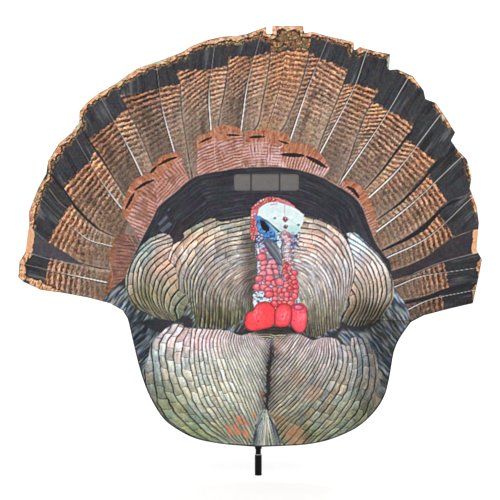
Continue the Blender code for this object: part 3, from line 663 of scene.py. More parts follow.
RIGHT_DOME_GUIDES = [[(69, 305), (78, 288), (81, 263), (85, 239)],
                     [(64, 329), (78, 317), (88, 298), (93, 274), (97, 243)],
                     [(62, 350), (81, 341), (99, 322), (107, 298), (111, 272), (112, 246)],
                     [(64, 364), (88, 357), (107, 338), (119, 312), (123, 284), (125, 255)],
                     [(67, 379), (95, 373), (116, 352), (130, 326), (133, 298), (133, 272)],
                     [(69, 395), (99, 388), (123, 367), (138, 341), (142, 315), (140, 288)],
                     [(71, 409), (102, 404), (126, 385), (144, 360), (151, 336), (147, 305)],
                     [(74, 426), (105, 419), (130, 404), (147, 383), (157, 357), (159, 336), (154, 312),
                      (149, 295)]]
RIGHT_WING = [(145, 399), (154, 401), (164, 396), (182, 379), (201, 360), (213, 341), (222, 317),
              (222, 291), (209, 270), (197, 256), (178, 248), (159, 246), (142, 250), (135, 262),
              (145, 274), (149, 293), (157, 333), (157, 357), (151, 378)]
RIGHT_WING_GUIDES = [[(154, 307), (161, 295), (161, 279), (151, 260)],
                     [(157, 329), (168, 310), (171, 291), (166, 270), (156, 253)],
                     [(157, 347), (170, 329), (178, 307), (176, 284), (166, 258)],
                     [(157, 360), (173, 345), (183, 324), (187, 302), (183, 277), (173, 255)],
                     [(154, 374), (175, 357), (189, 336), (196, 312), (194, 284), (182, 258)],
                     [(154, 385), (178, 371), (196, 350), (204, 326), (206, 298), (194, 267), (183, 255)],
                     [(156, 399), (178, 381), (199, 360), (213, 340), (220, 315), (218, 291), (204, 267)]]
LEFT_BREAST = [(-153, 242), (-137, 250), (-125, 248), (-118, 243), (-109, 243), (-82, 241), (-50, 239),
               (-30, 231), (-11, 236), (11, 241), (20, 201), (16, 130), (-4, 94), (-11, 44), (-64, 40),
               (-136, 60), (-172, 95), (-192, 144), (-180, 198), (-175, 219)]
LEFT_BREAST_GUIDES = [[(-161, 241), (-175, 219), (-173, 173), (-164, 121), (-146, 91), (-118, 71),
                       (-82, 55), (-55, 50)],
                      [(-146, 239), (-159, 214), (-158, 173), (-146, 130), (-125, 94), (-96, 69), (-68, 52)],
                      [(-132, 237), (-145, 214), (-144, 176), (-132, 137), (-107, 102), (-77, 71), (-50, 52)],
                      [(-116, 239), (-127, 214), (-128, 173), (-112, 127), (-91, 96), (-61, 68), (-39, 52)],
                      [(-109, 239), (-112, 219), (-112, 180), (-98, 130), (-77, 98), (-48, 62), (-32, 52)],
                      [(-84, 241), (-93, 219), (-86, 173), (-70, 130), (-48, 91), (-25, 55)],
                      [(-55, 239), (-62, 219), (-48, 173), (-30, 130), (-14, 94), (-7, 80)],
                      [(-32, 232), (-30, 214), (-12, 173), (4, 137), (11, 119)],
                      [(-14, 234), (-5, 214), (11, 187), (25, 166)],
                      [(2, 237), (11, 219), (29, 198)]]
RIGHT_BREAST = [(18, 214), (2, 239), (30, 243), (53, 237), (75, 230), (91, 223), (109, 228), (127, 225),
                (137, 216), (152, 214), (153, 226), (171, 225), (193, 201), (198, 166), (205, 130),
                (200, 102), (172, 78), (137, 58), (102, 44), (46, 38), (36, 59), (25, 94), (14, 116),
                (20, 184)]
RIGHT_BREAST_GUIDES = [[(48, 232), (34, 219), (20, 205)],
                       [(66, 230), (48, 205), (21, 173)],
                       [(87, 221), (71, 196), (45, 162), (18, 134)],
                       [(103, 225), (95, 196), (71, 159), (41, 125), (20, 105)],
                       [(114, 226), (114, 196), (96, 157), (66, 119), (34, 89)],
                       [(128, 223), (130, 191), (118, 157), (95, 123), (62, 89), (39, 62)],
                       [(145, 212), (148, 187), (141, 155), (123, 121), (95, 89), (62, 53)],
                       [(157, 210), (161, 180), (155, 148), (141, 116), (116, 85), (84, 55)],
                       [(166, 226), (175, 198), (175, 162), (166, 130), (148, 100), (127, 77), (102, 55)],
                       [(180, 221), (189, 198), (189, 159), (180, 125), (166, 98), (145, 77), (120, 59)],
                       [(193, 198), (200, 166), (196, 127), (184, 102), (155, 77)]]


def paint_body(picture):
    """The body: down on the flanks, two wings, two domes of back feathers and two halves of the breast."""
    p = picture.around([(-262, 40), (262, 330)])
    lean = np.where(p.x < 12, p.z * 0.75 + p.x * 0.62, p.z * 0.75 - p.x * 0.62)
    turn = np.where(p.x < 12, p.x * 0.75 - p.z * 0.62, p.x * 0.75 + p.z * 0.62)
    flow = noise(turn / 2.6 + 1.2 * cloud(p.x / 22, p.z / 22, 311), lean / 16, 313)
    finer = noise(turn / 1.5 + 1.2 * cloud(p.x / 22, p.z / 22, 311), lean / 11, 312)
    lit = ease(-0.55, 0.75, 0.7 * flow + 0.45 * finer) * (0.8 + 0.2 * noise(p.x / 9, p.z / 9, 315))
    down = mixed((62, 63, 66), (190, 194, 196), lit)
    down = down + np.array((14.0, 2, -14)) * cloud(p.x / 12, p.z / 12, 317)[..., None]
    body = np.vstack([smooth_line(ARCH_EDGE), [(255, 30), (-262, 30)]])
    low = (1 - ease(296, 316, p.z + 10 * noise(p.x / 14, p.z / 14, 319)))
    p.lay(down, ease(0, 1.5, edge_distance(body, p.x, p.z)) * low)
    for gap in ([(-205, 252), (-150, 262), (-112, 262), (-104, 240), (-60, 236), (-28, 240), (-4, 252),
                 (16, 238), (-20, 226), (-60, 236), (-110, 242), (-136, 252), (-160, 234), (-190, 250)],
                [(208, 262), (160, 252), (140, 258), (128, 240), (100, 226), (80, 232), (74, 224),
                 (94, 220), (126, 228), (140, 240), (160, 238), (180, 240)]):
        fill(picture, gap, (56, 54, 58), soft=4, ragged=2.0, seed=321, curved=True)
    plumage(picture, LEFT_WING, LEFT_WING_GUIDES, [0, 1, 2, 3, 4, 5, 6, 7],
            [(255, (104, 98, 76)), (285, (152, 138, 114)), (330, (178, 160, 140)), (395, (182, 182, 170))],
            19, 331, line=1.9, light=0.6, more=1.5)
    plumage(picture, RIGHT_WING, RIGHT_WING_GUIDES, [0, 1, 2, 3, 4, 5, 6],
            [(248, (84, 74, 60)), (272, (128, 110, 88)), (300, (184, 158, 138)), (345, (208, 196, 188)),
             (398, (200, 208, 210))],
            24, 337, line=2.0, light=0.65, more=1.5)
    plumage(picture, LEFT_DOME, LEFT_DOME_GUIDES, [0, 1.3, 2.6, 5, 7.5, 10, 15.5, 19],
            [(245, (86, 82, 62)), (268, (112, 104, 86)), (296, (146, 132, 120)), (335, (182, 166, 156)),
             (380, (198, 184, 170)), (425, (166, 156, 140))], 22, 347, line=1.6, light=0.6, hair=0.9,
            more=1.15, fade=lambda x, z: 0.25 + 0.75 * ease(34, 92, np.hypot(x + 10, (z - 300) * 0.85)))
    plumage(picture, RIGHT_DOME, RIGHT_DOME_GUIDES, [0, 3.5, 7, 9.5, 12, 14, 15.6, 17.2],
            [(232, (96, 88, 70)), (262, (138, 124, 106)), (300, (180, 166, 156)), (340, (204, 188, 182)),
             (385, (210, 188, 176)), (425, (178, 162, 148))], 24, 353, line=1.6, light=0.6, hair=0.9,
            more=1.1, fade=lambda x, z: 0.25 + 0.75 * ease(26, 84, np.hypot(x - 60, (z - 300) * 0.85)))
    plumage(picture, LEFT_BREAST, LEFT_BREAST_GUIDES, [0, 1, 2, 3, 4, 6.4, 10.5, 16, 21, 25],
            [(44, (142, 146, 120)), (80, (154, 153, 130)), (130, (186, 180, 164)), (190, (208, 199, 188)),
             (240, (212, 190, 188))],
            20, 359, line=1.35, light=0.45, hair=0.35, wobble=0.2, more=1.25)
    plumage(picture, RIGHT_BREAST, RIGHT_BREAST_GUIDES, [0, 4.5, 9, 13.5, 17, 20, 22, 23.4, 25, 26, 27],
            [(44, (128, 130, 102)), (90, (140, 136, 114)), (140, (164, 153, 138)), (190, (186, 173, 165)),
             (235, (200, 179, 175))],
            19, 367, line=1.35, light=0.4, hair=0.45, wobble=0.2, more=1.1)
    for (x, z), (wide, high), tint, amount in BODY_TINTS:
        glaze(picture, x, z, wide, high, tint, amount)
    for paint in (tint_patches, shade_flanks, paint_crease, paint_tuft, paint_shadows):
        paint(picture)


BODY_TINTS = (((-100, 387), (38, 20), (216, 172, 150), 0.8), ((-112, 408), (26, 12), (150, 152, 116), 0.6),
              ((-153, 351), (22, 34), (214, 168, 148), 0.8), ((-194, 378), (18, 22), (140, 160, 156), 0.8),
              ((-186, 296), (26, 24), (130, 126, 96), 0.8), ((-70, 262), (48, 18), (146, 144, 114), 0.7),
              ((-118, 300), (22, 30), (150, 148, 122), 0.6), ((-40, 330), (30, 30), (176, 150, 134), 0.5),
              ((96, 387), (44, 22), (222, 178, 158), 0.8), ((120, 330), (28, 40), (186, 168, 160), 0.5),
              ((84, 262), (40, 22), (130, 126, 104), 0.5), ((164, 382), (16, 18), (190, 210, 210), 0.8),
              ((182, 340), (24, 30), (218, 182, 166), 0.7), ((186, 268), (30, 20), (96, 90, 72), 0.7),
              ((-95, 222), (44, 18), (218, 180, 170), 0.7), ((-146, 122), (34, 44), (146, 147, 116), 0.8),
              ((-108, 70), (46, 22), (140, 142, 110), 0.8), ((-55, 150), (40, 46), (214, 202, 176), 0.5),
              ((-172, 204), (14, 40), (134, 140, 134), 0.7), ((92, 212), (40, 18), (206, 178, 170), 0.6),
              ((175, 190), (24, 40), (126, 130, 124), 0.7), ((166, 106), (30, 34), (122, 126, 104), 0.7),
              ((70, 70), (50, 22), (146, 132, 100), 0.6), ((-196, 236), (20, 34), (70, 76, 78), 0.8),
              ((40, 150), (24, 50), (168, 150, 132), 0.4))


def glaze(picture, x, z, wide, high, tint, amount):
    """A soft round tint over the print, next to a plain grey-brown."""
    p = picture.around([(x - 2 * wide, z - 2 * high), (x + 2 * wide, z + 2 * high)], 0)
    reach = amount * np.exp(-((p.x - x) / wide) ** 2 - ((p.z - z) / high) ** 2)
    p.rgb *= 1 + reach[..., None] * (np.asarray(tint) / (172.0, 162.0, 148.0) - 1)


def tint_patches(picture):
    """Orange feather ends on the breast, and faint rust tints."""
    for spot in ([(-54, 82), (-46, 82), (-40, 68), (-48, 70)], [(-42, 84), (-36, 84), (-28, 70), (-36, 68)],
                 [(-37, 99), (-31, 99), (-26, 86), (-34, 86)], [(-26, 96), (-21, 92), (-14, 82), (-22, 84)],
                 [(-27, 78), (-20, 78), (-13, 62), (-22, 64)], [(-12, 108), (-6, 104), (-2, 94), (-9, 98)],
                 [(4, 140), (8, 136), (10, 128), (4, 130)]):
        fill(picture, spot, (214, 128, 88), soft=2.0, ragged=1.2, seed=373, curved=True, strength=0.8)
    for spot, amount in (([(28, 222), (36, 226), (34, 205), (28, 200)], 0.5),
                         ([(40, 70), (62, 84), (70, 72), (50, 58)], 0.6),
                         ([(52, 60), (76, 66), (70, 52), (50, 50)], 0.5),
                         ([(60, 176), (72, 170), (66, 150), (54, 158)], 0.22),
                         ([(84, 150), (104, 140), (96, 122), (76, 132)], 0.25),
                         ([(20, 100), (40, 100), (44, 84), (26, 84)], 0.3)):
        fill(picture, spot, (192, 122, 88), soft=6.0, ragged=4.0, seed=379, curved=True, strength=amount)


def shade_flanks(picture):
    """The breast's two sides, which turn away from the light."""
    p = picture.around([(-262, 40), (262, 250)])
    rim_left = ease(0, 1, (-p.x - 118) / 70) * (1 - ease(120, 236, p.z + 0.35 * p.x + 60))
    p.shade(1 - 0.38 * rim_left)
    rim_right = ease(0, 1, (p.x - 140) / 60)
    p.shade(1 - 0.26 * rim_right)


def paint_crease(picture):
    """The broken dark crease between the halves of the breast, and the fine arcs at its top."""
    crease = smooth_line([(24, 236), (21, 205), (17, 170), (16, 140), (12, 112)])
    q = picture.around(crease, 22)
    side, along = measure(crease, q.x, q.z)
    length = 128.0  # a little more than the crease's own, so that its end fades
    broken = 2.6 * noise(along / 3.2, side / 2.2, 383) + 2.0 * noise(along / 8, side / 5, 385)
    core = (1 - ease(0.8, 6.5, np.abs(side) + broken)) * ease(-6, 18, along)
    core = core * (1 - ease(length - 6, length + 8, along))
    q.lay((40, 38, 44), np.clip(0.72 * core * ease(10, 40, along) + 0.3 * core, 0, 1))
    halo = 0.42 * (1 - ease(4, 19, np.abs(side) + broken)) * ease(0, 30, along)
    q.lay((60, 52, 54), halo * (1 - ease(length - 10, length + 4, along)))
    top = picture.around([(-12, 225), (58, 252)])
    arcs = crests(np.hypot((top.x - 26) * 0.45, top.z - 262) / 3.4 + 0.4 * noise(top.x / 9, top.z / 5, 389))
    where = (1 - ease(16, 30, np.abs(top.x - 24))) * ease(222, 230, top.z) * (1 - ease(240, 248, top.z))
    top.lay(mixed((44, 42, 40), (186, 176, 140), ease(0.35, 0.8, arcs)), where * 0.75)


def paint_tuft(picture):
    """The tuft of long hair-like feathers below the crease."""
    tuft = closed_line([(11, 113), (2, 98), (-4, 80), (-11, 56), (-13, 38), (38, 38), (37, 56), (29, 76),
                        (20, 98)])
    t = picture.around(tuft)
    spread = (t.x - 12) / (1.5 + (116 - t.z) * 0.34)
    strand = noise(spread * 7, t.z / 30, 391) + 0.6 * noise(spread * 15, t.z / 18, 393)
    colour = ramp(spread, (-1.1, (118, 122, 120)), (-0.6, (152, 156, 152)), (0.0, (196, 190, 172)),
                  (0.45, (176, 172, 150)), (0.8, (112, 116, 120)), (1.2, (120, 118, 108)))
    colour = colour * (1 + 0.30 * strand + 0.14 * noise(spread * 30, t.z / 12, 395))[..., None]
    colour = mixed(colour, (62, 64, 72), 0.8 * ease(0.25, 0.80, noise(spread * 9 + 3, t.z / 22, 397)))
    t.lay(colour, ease(-1.2, 1.6, edge_distance(tuft, t.x, t.z) + noise(t.x / 3, t.z / 8, 399)))
    for streak in ([(18, 96), (30, 76), (36, 52)], [(6, 96), (-4, 74), (-8, 50)]):
        stroke(picture, streak, 2.4, (52, 54, 62), 0.6, soft=1.4)


def paint_shadows(picture):
    """The dark hollows on the left of the neck and under the wattles."""
    shadow = picture.around([(-60, 250), (12, 400)])
    depth = (1 - ease(4, 26, np.abs(shadow.x + 8 + 0.04 * (shadow.z - 330)))) * ease(262, 300, shadow.z)
    depth = depth * (1 - ease(392, 404, shadow.z))
    shadow.lay((52, 44, 40), 0.62 * depth * (shadow.x < 8))
    low = picture.around([(-60, 230), (110, 262)])
    dark = 0.75 * (1 - ease(3, 11, np.abs(low.z - 240))) * (1 - ease(26, 54, np.abs(low.x - 28)))
    low.lay((34, 32, 32), dark)


# ------------------------------------------------------------------ the print: head
def bead(picture, x, z, wide, high, tone, seed, turn=0.0, shine=0.6):
    """One rounded wart of bare skin, lit from the upper left."""
    p = picture.around([(x - wide, z - high), (x + wide, z + high)], 2)
    c, s = math.cos(turn), math.sin(turn)
    u = ((p.x - x) * c + (p.z - z) * s) / (wide / 2)
    v = (-(p.x - x) * s + (p.z - z) * c) / (high / 2)
    r = np.hypot(u, v) * (1 + 0.10 * noise(p.x / (0.35 * wide + 1), p.z / (0.35 * high + 1), seed))
    tone = np.asarray(tone, float)
    colour = tone * (1.08 - 0.36 * ease(0.45, 1.05, r))[..., None]
    gleam = np.exp(-((u + 0.28) ** 2 + (v - 0.38) ** 2) / 0.16)
    colour = mixed(colour, (252, 190, 190), shine * gleam)
    size = min(wide, high) / 2
    p.lay(tone * 0.50, (1 - ease(1.0, 1.0 + 1.5 / size, r)) * 0.42)
    edge = 0.9 / size
    p.lay(colour, 1 - ease(1 - edge, 1 + edge * 0.4, r))


def lobe(picture, points, tone, seed, lit=(0.0, 0.0)):
    """A large smooth wattle, darker to its edge and paler towards the lit place."""
    edge = closed_line(points, 2.0)
    p = picture.around(edge, 3)
    depth = edge_distance(edge, p.x, p.z)
    light = 0.82 + 0.24 * ease(-0.5, 5, depth) + 0.06 * cloud(p.x / 7, p.z / 7, seed)
    colour = np.asarray(tone, float) * light[..., None]
    gleam = np.exp(-((p.x - lit[0]) / 8) ** 2 - ((p.z - lit[1]) / 11) ** 2)
    gleam = gleam * (0.5 + 0.5 * noise(p.x / 2.4, p.z / 3.4, seed + 1))
    colour = mixed(colour, (252, 158, 170), 0.9 * np.clip(gleam, 0, 1))
    dots = ease(0.55, 0.85, noise(p.x / 1.8, p.z / 1.8, seed + 2))
    dots = dots * (0.10 + 0.4 * ease(0.1, 0.5, cloud(p.x / 12, p.z / 12, seed + 3)))
    colour = mixed(colour, (146, 30, 44), dots)
    p.lay((136, 34, 44), 0.7 * ease(-2.0, -0.4, depth))
    p.lay(colour, ease(-0.5, 0.7, depth))


def warts(picture, rng, rows):
    """Warts of bare skin over one another, row by row. Each row holds the height, the two ends, the number of
    warts, their width and height, and the share of red."""
    for z, left, right, count, wide, high, red in rows:
        for k in rng.permutation(count):
            x = left + (right - left) * (k + 0.5) / count + 3.0 * (rng.random() - 0.5)
            redness = min(1.0, max(0.0, red + 0.5 * (rng.random() - 0.5)))
            tone = between((222, 150, 164), (236, 84, 88), redness)
            tone = between(tone, (206, 96, 110), 0.5 * rng.random())
            swell = 0.75 + 0.6 * rng.random()
            bead(picture, x, z + 4.0 * (rng.random() - 0.5), wide * swell, high * swell, tone, int(z) + k,
                 turn=1.3 * (rng.random() - 0.5), shine=0.5)


def paint_neck(picture, rng):
    """The neck: pale speckled skin, pink warts that get redder downwards, and the wattles."""
    neck = [(-2, 400), (-4, 372), (-1, 340), (-6, 312), (-8, 286), (4, 270), (62, 270), (66, 290),
            (60, 320), (56, 350), (60, 380), (58, 400)]
    p = picture.around(neck)
    shape = edge_distance(closed_line(neck), p.x, p.z)
    skin = mixed((196, 204, 214), (92, 88, 104), ease(0.05, 0.5, cloud(p.x / 3, p.z / 3, 401)))
    skin = mixed(skin, (224, 228, 234), ease(0.25, 0.6, noise(p.x / 2.4, p.z / 2.4, 403)))
    p.lay(skin, ease(-1.5, 1.0, shape + 1.8 * noise(p.x / 3, p.z / 3, 405)))
    shadow = (1 - ease(6, 17, np.abs(p.x - 22 - (352 - p.z) * 0.34))) * ease(306, 322, p.z)
    shadow = shadow * (1 - ease(356, 372, p.z))
    p.lay((70, 62, 72), 0.75 * ease(-1, 2, shape) * shadow * (0.7 + 0.3 * noise(p.x / 3, p.z / 3, 409)))
    warts(picture, rng, ((371, 2, 18, 2, 9, 6, 0.1), (362, 0, 12, 1, 13, 10, 0.5),
                         (352, 3, 30, 2, 16, 10, 0.2), (343, 4, 30, 3, 14, 9, 0.15),
                         (334, 0, 34, 3, 14, 10, 0.3), (325, -2, 22, 3, 13, 10, 0.55),
                         (318, 10, 40, 3, 13, 10, 0.6), (311, -6, 14, 2, 14, 10, 0.7),
                         (306, 12, 60, 5, 13, 10, 0.7), (299, 14, 62, 5, 12, 10, 0.8),
                         (291, 22, 62, 4, 12, 10, 0.75), (284, 28, 60, 3, 13, 9, 0.8)))
    lobe(picture, [(-21, 262), (-17, 269), (-8, 272), (-3, 281), (8, 286), (20, 284), (28, 272), (29, 256),
                   (22, 246), (8, 242), (-6, 239), (-17, 241), (-22, 250)], (244, 72, 78), 541, lit=(-2, 268))
    lobe(picture, [(52, 276), (62, 283), (75, 281), (80, 268), (79, 248), (73, 237), (64, 237), (55, 246),
                   (51, 260)],
         (244, 80, 92), 547, lit=(71, 262))
    lobe(picture, [(28, 272), (34, 281), (46, 283), (54, 276), (54, 258), (49, 248), (38, 245), (29, 248),
                   (27, 260)],
         (243, 72, 80), 549, lit=(41, 264))
    bead(picture, 27, 283, 15, 10, (226, 70, 80), 551, turn=-0.5)
    bead(picture, 66, 277, 15, 9, (222, 96, 124), 553, shine=0.4)


def paint_snood(picture, rng):
    """The snood: pale folds that hang from the forehead over the beak, and a red end."""
    for k in range(26):
        t = k / 25
        tone = ((250, 244, 248), (240, 186, 194), (238, 220, 228), (232, 148, 158))[int(4 * rng.random())]
        bead(picture, 45 + 6 * t + 3.0 * (rng.random() - 0.5), 400 - 56 * t, 12 + 6 * rng.random(), 4.6,
             tone, 640 + k, turn=0.5 * (rng.random() - 0.5), shine=0.3)
    for k in range(34):
        t = rng.random()
        tone = ((220, 96, 108), (186, 188, 226), (246, 240, 246), (150, 130, 160))[k % 4]
        bead(picture, 39 + 18 * rng.random() + 2 * t, 400 - 54 * t, 3.0, 2.6, tone, 670 + k, shine=0.2)
    for k in range(20):
        t = k / 19
        tone = between((226, 66, 76), (238, 124, 130), rng.random())
        bead(picture, 46 + 5 * t + 9 * (rng.random() - 0.5), 347 - 38 * t, 8.5 + 3 * rng.random(), 7.5,
             tone, 690 + k, turn=2 * rng.random(), shine=0.5)
    for k in range(6):
        t = k / 5
        bead(picture, 58 + 3 * t + 5 * (rng.random() - 0.5), 334 - 38 * t, 9 + 4 * rng.random(),
             11 - 3 * rng.random(), between((232, 96, 104), (222, 72, 84), rng.random()), 712 + k,
             turn=2 * rng.random() - 1, shine=0.5)


def paint_red_rim(picture, rng):
    """The small red warts around the crown's left and upper edge."""
    fill(picture, [(-12, 394), (-13, 424), (-9, 441), (3, 453), (19, 459), (34, 457), (50, 450), (60, 440),
                   (30, 430), (2, 420), (-2, 394)],
         (216, 122, 122), soft=1.2, ragged=1.6, seed=561, curved=True)
    for k in range(96):
        t = (k // 2) / 47
        if t < 0.4:
            x, z = -10 - 1.5 * math.sin(t * 9), 392 + t / 0.4 * 40
        else:
            a = (t - 0.4) / 0.6
            x, z = -9 + 62 * a, 433 + 22 * math.sin(math.pi * min(a * 0.86 + 0.12, 1.0))
        tone = ((232, 98, 92), (240, 138, 134), (214, 92, 92), (238, 164, 160))[int(4 * rng.random())]
        size = 3.2 + 2.4 * rng.random()
        bead(picture, x + 1.5 + 5 * (rng.random() - 0.5), z - 1 + 5 * (rng.random() - 0.5), size, size,
             tone, 570 + k, shine=0.3)


def paint_crown(picture):
    """The white crown, bluish and lined along its lower edge."""
    crown = fill(picture, [(-3, 424), (2, 441), (13, 449), (28, 451), (44, 448), (60, 441), (75, 430),
                           (74, 418), (68, 405), (62, 397), (44, 396), (36, 402), (26, 411), (6, 424)],
                 (226, 236, 234), soft=1.0, ragged=0.7, seed=563)
    crown.shade(1 + 0.05 * cloud(crown.x / 7, crown.z / 5, 565))
    q = picture.around([(20, 394), (76, 440)])
    pale = q.rgb[..., 1] > 190
    crease = 0.55 * (1 - ease(4, 14, np.abs(q.z - 403 - 0.05 * (q.x - 50)))) * ease(26, 36, q.x)
    q.lay((168, 208, 204), crease * pale)
    lines = 0.5 * ease(0.45, 0.9, noise((q.z + 0.4 * q.x) / 2.2, q.x / 12, 566)) * (1 - ease(408, 424, q.z))
    q.lay((140, 170, 176), lines * pale)


def paint_face(picture, rng):
    """The blue face, the dark hollow of the eye, and the violet warts below it on both sides."""
    fill(picture, [(-6, 428), (2, 428), (8, 424), (20, 414), (28, 404), (31, 392), (30, 380), (20, 382),
                   (8, 391), (-1, 404), (-4, 414)],
         (92, 138, 190), soft=1.2, ragged=1.6, seed=567, curved=True)
    face = picture.around([(-6, 378), (32, 428)])
    blue = (face.rgb[..., 2] > 150) & (face.rgb[..., 0] < 140)
    face.lay((38, 66, 132), 0.75 * ease(0.0, 0.6, cloud(face.x / 5, face.z / 5, 569)) * blue)
    face.lay((140, 196, 220), 0.7 * ease(0.2, 0.7, cloud(face.x / 4 + 9, face.z / 4, 571)) * blue)
    for mark, width, tone in (([(19, 415), (27, 405), (31, 396)], 3.2, (150, 196, 206)),
                              ([(4, 423), (14, 420), (24, 411), (34, 402)], 2.2, (70, 88, 104)),
                              ([(2, 396), (12, 392), (26, 394)], 2.0, (44, 60, 104)),
                              ([(12, 404), (16, 396)], 1.6, (40, 62, 120)),
                              ([(-2, 402), (10, 397), (18, 388)], 2.2, (56, 104, 170))):
        stroke(picture, mark, width, tone, 0.8)
    fill(picture, [(3, 421), (10, 420), (16, 412), (18, 404), (13, 401), (8, 405), (4, 412)], (34, 34, 42),
         soft=1.3, ragged=0.8, seed=573, curved=True)
    for k in range(76):
        left, wide, low, high = (-5, 17, 374, 23) if k % 2 else (54, 13, 371, 28)
        x, z = left + wide * rng.random(), low + high * rng.random()
        tone = ((120, 112, 190), (186, 190, 226), (90, 80, 160), (226, 228, 242))[int(4 * rng.random())]
        bead(picture, x, z, 3.4, 3.0, tone, 810 + k, shine=0.3)


def paint_beak(picture):
    """The grey beak, which points down to the right and goes behind the snood."""
    fill(picture, [(8, 387), (18, 390), (27, 384), (36, 370), (42, 356), (42, 343), (36, 346), (26, 356),
                   (15, 370)], (98, 96, 106),
         soft=1.6, ragged=1.8, seed=575, curved=True, strength=0.92)
    for mark, width, tone in (([(14, 384), (26, 368), (38, 350)], 2.6, (132, 134, 142)),
                              ([(22, 384), (33, 370), (41, 352)], 2.0, (160, 154, 152)),
                              ([(12, 376), (22, 362), (32, 350)], 2.4, (150, 120, 142)),
                              ([(8, 384), (19, 368), (34, 346)], 2.0, (52, 52, 62)),
                              ([(41, 358), (41, 346), (38, 338)], 3.0, (204, 160, 120)),
                              ([(28, 356), (32, 352)], 3.4, (92, 118, 130)),
                              ([(26, 386), (34, 388)], 2.2, (50, 60, 84)),
                              ([(40, 386), (38, 372), (40, 358)], 1.8, (60, 56, 68))):
        stroke(picture, mark, width, tone, 0.85, soft=1.2)


def paint_crown_marks(picture):
    """Two warts on the crown's middle line, two dark spots and some pink folds."""
    for x, z, wide, high in ((44, 422, 5.0, 4.6), (45, 410, 4.0, 3.6)):
        ring = [(x + wide * math.cos(a) * (1 + 0.12 * math.cos(3 * a)), z + high * math.sin(a))
                for a in np.linspace(0, 5.6, 9)]
        fill(picture, ring, (150, 84, 82), soft=1.0, ragged=1.2, seed=720, curved=True, strength=0.9)
        fill(picture, [(x - 1.6, z - 1.2), (x + 1.8, z - 1.4), (x + 1.4, z + 1.6), (x - 1.4, z + 1.8)],
             (96, 62, 66), soft=1.0, ragged=0.8, seed=722, curved=True)
        bead(picture, x + 1.2, z + 1.4, 3.0, 2.2, (216, 190, 186), 723, shine=0.0)
    for line, width, tone in (([(44, 448), (43, 438), (44, 427)], 1.4, (206, 160, 160)),
                              ([(44, 404), (47, 399), (52, 396)], 2.2, (222, 110, 118)),
                              ([(40, 400), (44, 405)], 1.6, (222, 110, 118)),
                              ([(20, 446), (32, 448)], 2.0, (186, 150, 170)),
                              ([(38, 449), (52, 445)], 2.0, (176, 150, 176))):
        stroke(picture, line, width, tone, 0.7)
    for x, z in ((66, 413), (27, 424)):
        bead(picture, x, z, 3.4, 2.6, (96, 118, 124), 724, shine=0.0)


def paint_head(picture):
    """The bare head, from the neck at the back to the snood in front of the beak."""
    rng = np.random.default_rng(41)
    paint_neck(picture, rng)
    paint_red_rim(picture, rng)
    paint_crown(picture)
    paint_face(picture, rng)
    paint_beak(picture)
    paint_snood(picture, rng)
    paint_crown_marks(picture)


def paint_rim_marks(picture):
    """Small marks of the hidden back layer at the hem: dark and pale green ends, and one dark spot."""
    for spot in ([(-392, 320), (-380, 322), (-368, 306), (-356, 303), (-360, 294), (-384, 292)],
                 [(-356, 516), (-347, 512), (-345, 500), (-352, 488), (-362, 494)]):
        fill(picture, spot, DARK_GREEN, soft=1.5, ragged=1.5, seed=731, curved=True)
    for spot in ([(-240, 645), (-226, 652), (-214, 661), (-220, 654), (-232, 645)],
                 [(-182, 676), (-166, 684), (-150, 689), (-160, 680)],
                 [(-300, 566), (-296, 580), (-292, 584), (-296, 572)], [(300, 596), (308, 588), (304, 584)],
                 [(352, 478), (354, 490), (349, 492)], [(218, 668), (217, 690), (212, 690), (213, 670)]):
        fill(picture, spot, (186, 196, 166), soft=1.4, ragged=1.2, seed=735, curved=True, strength=0.8)
    fill(picture, [(-385, 431), (-376, 431), (-376, 425), (-385, 425)], (40, 38, 36), soft=1.0, seed=733,
         curved=True)


def paint_hem_line(picture, rim):
    """The dark line of the turned hem along the body's lower edge, fainter here and there."""
    gap = rim.rgb[..., 0] + 0.9 * cloud(picture.x / 14, picture.z / 14, 741)
    picture.lay((34, 35, 40), 0.85 * (1 - ease(1.2, 3.0, gap)) * (1 - ease(262, 276, picture.z)))


def finish_print(picture, amount=0.62, reach=2, grain=9):
    """Strengthens the print's fine contrast, and adds the faint coloured grain of printed cloth."""
    soft = np.zeros_like(picture.rgb)
    padded = np.pad(picture.rgb, ((reach, reach), (reach, reach), (0, 0)), mode="edge")
    rows, columns = picture.rgb.shape[:2]
    for i in range(2 * reach + 1):
        for j in range(2 * reach + 1):
            soft += padded[i:i + rows, j:j + columns]
    soft /= (2 * reach + 1) ** 2
    picture.rgb += amount * (picture.rgb - soft)
    for channel in range(3):
        picture.rgb[..., channel] += grain * noise(picture.x / 2.6, picture.z / 2.6, 901 + channel)
    picture.rgb *= (0.97, 1.0, 1.015)
    np.clip(picture.rgb, 6, 252, out=picture.rgb)


# ------------------------------------------------------------------ the cloth's outline, from the frame
def front_edges(node):
    """The outer edges of a panel's front face, in millimetres."""
    mesh = frame["nodes"][node].data
    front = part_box(node)[0].y
    count = {}
    for face in mesh.polygons:
        corners = [mesh.vertices[i].co for i in face.vertices]
        if any(abs(c.y - front) > 1e-5 for c in corners):
            continue
        keys = [(round(c.x / MM, 3), round(c.z / MM, 3)) for c in corners]
        for a, b in zip(keys, keys[1:] + keys[:1]):
            edge = (min(a, b), max(a, b))
            count[edge] = count.get(edge, 0) + 1
    return [edge for edge, n in count.items() if n == 1]


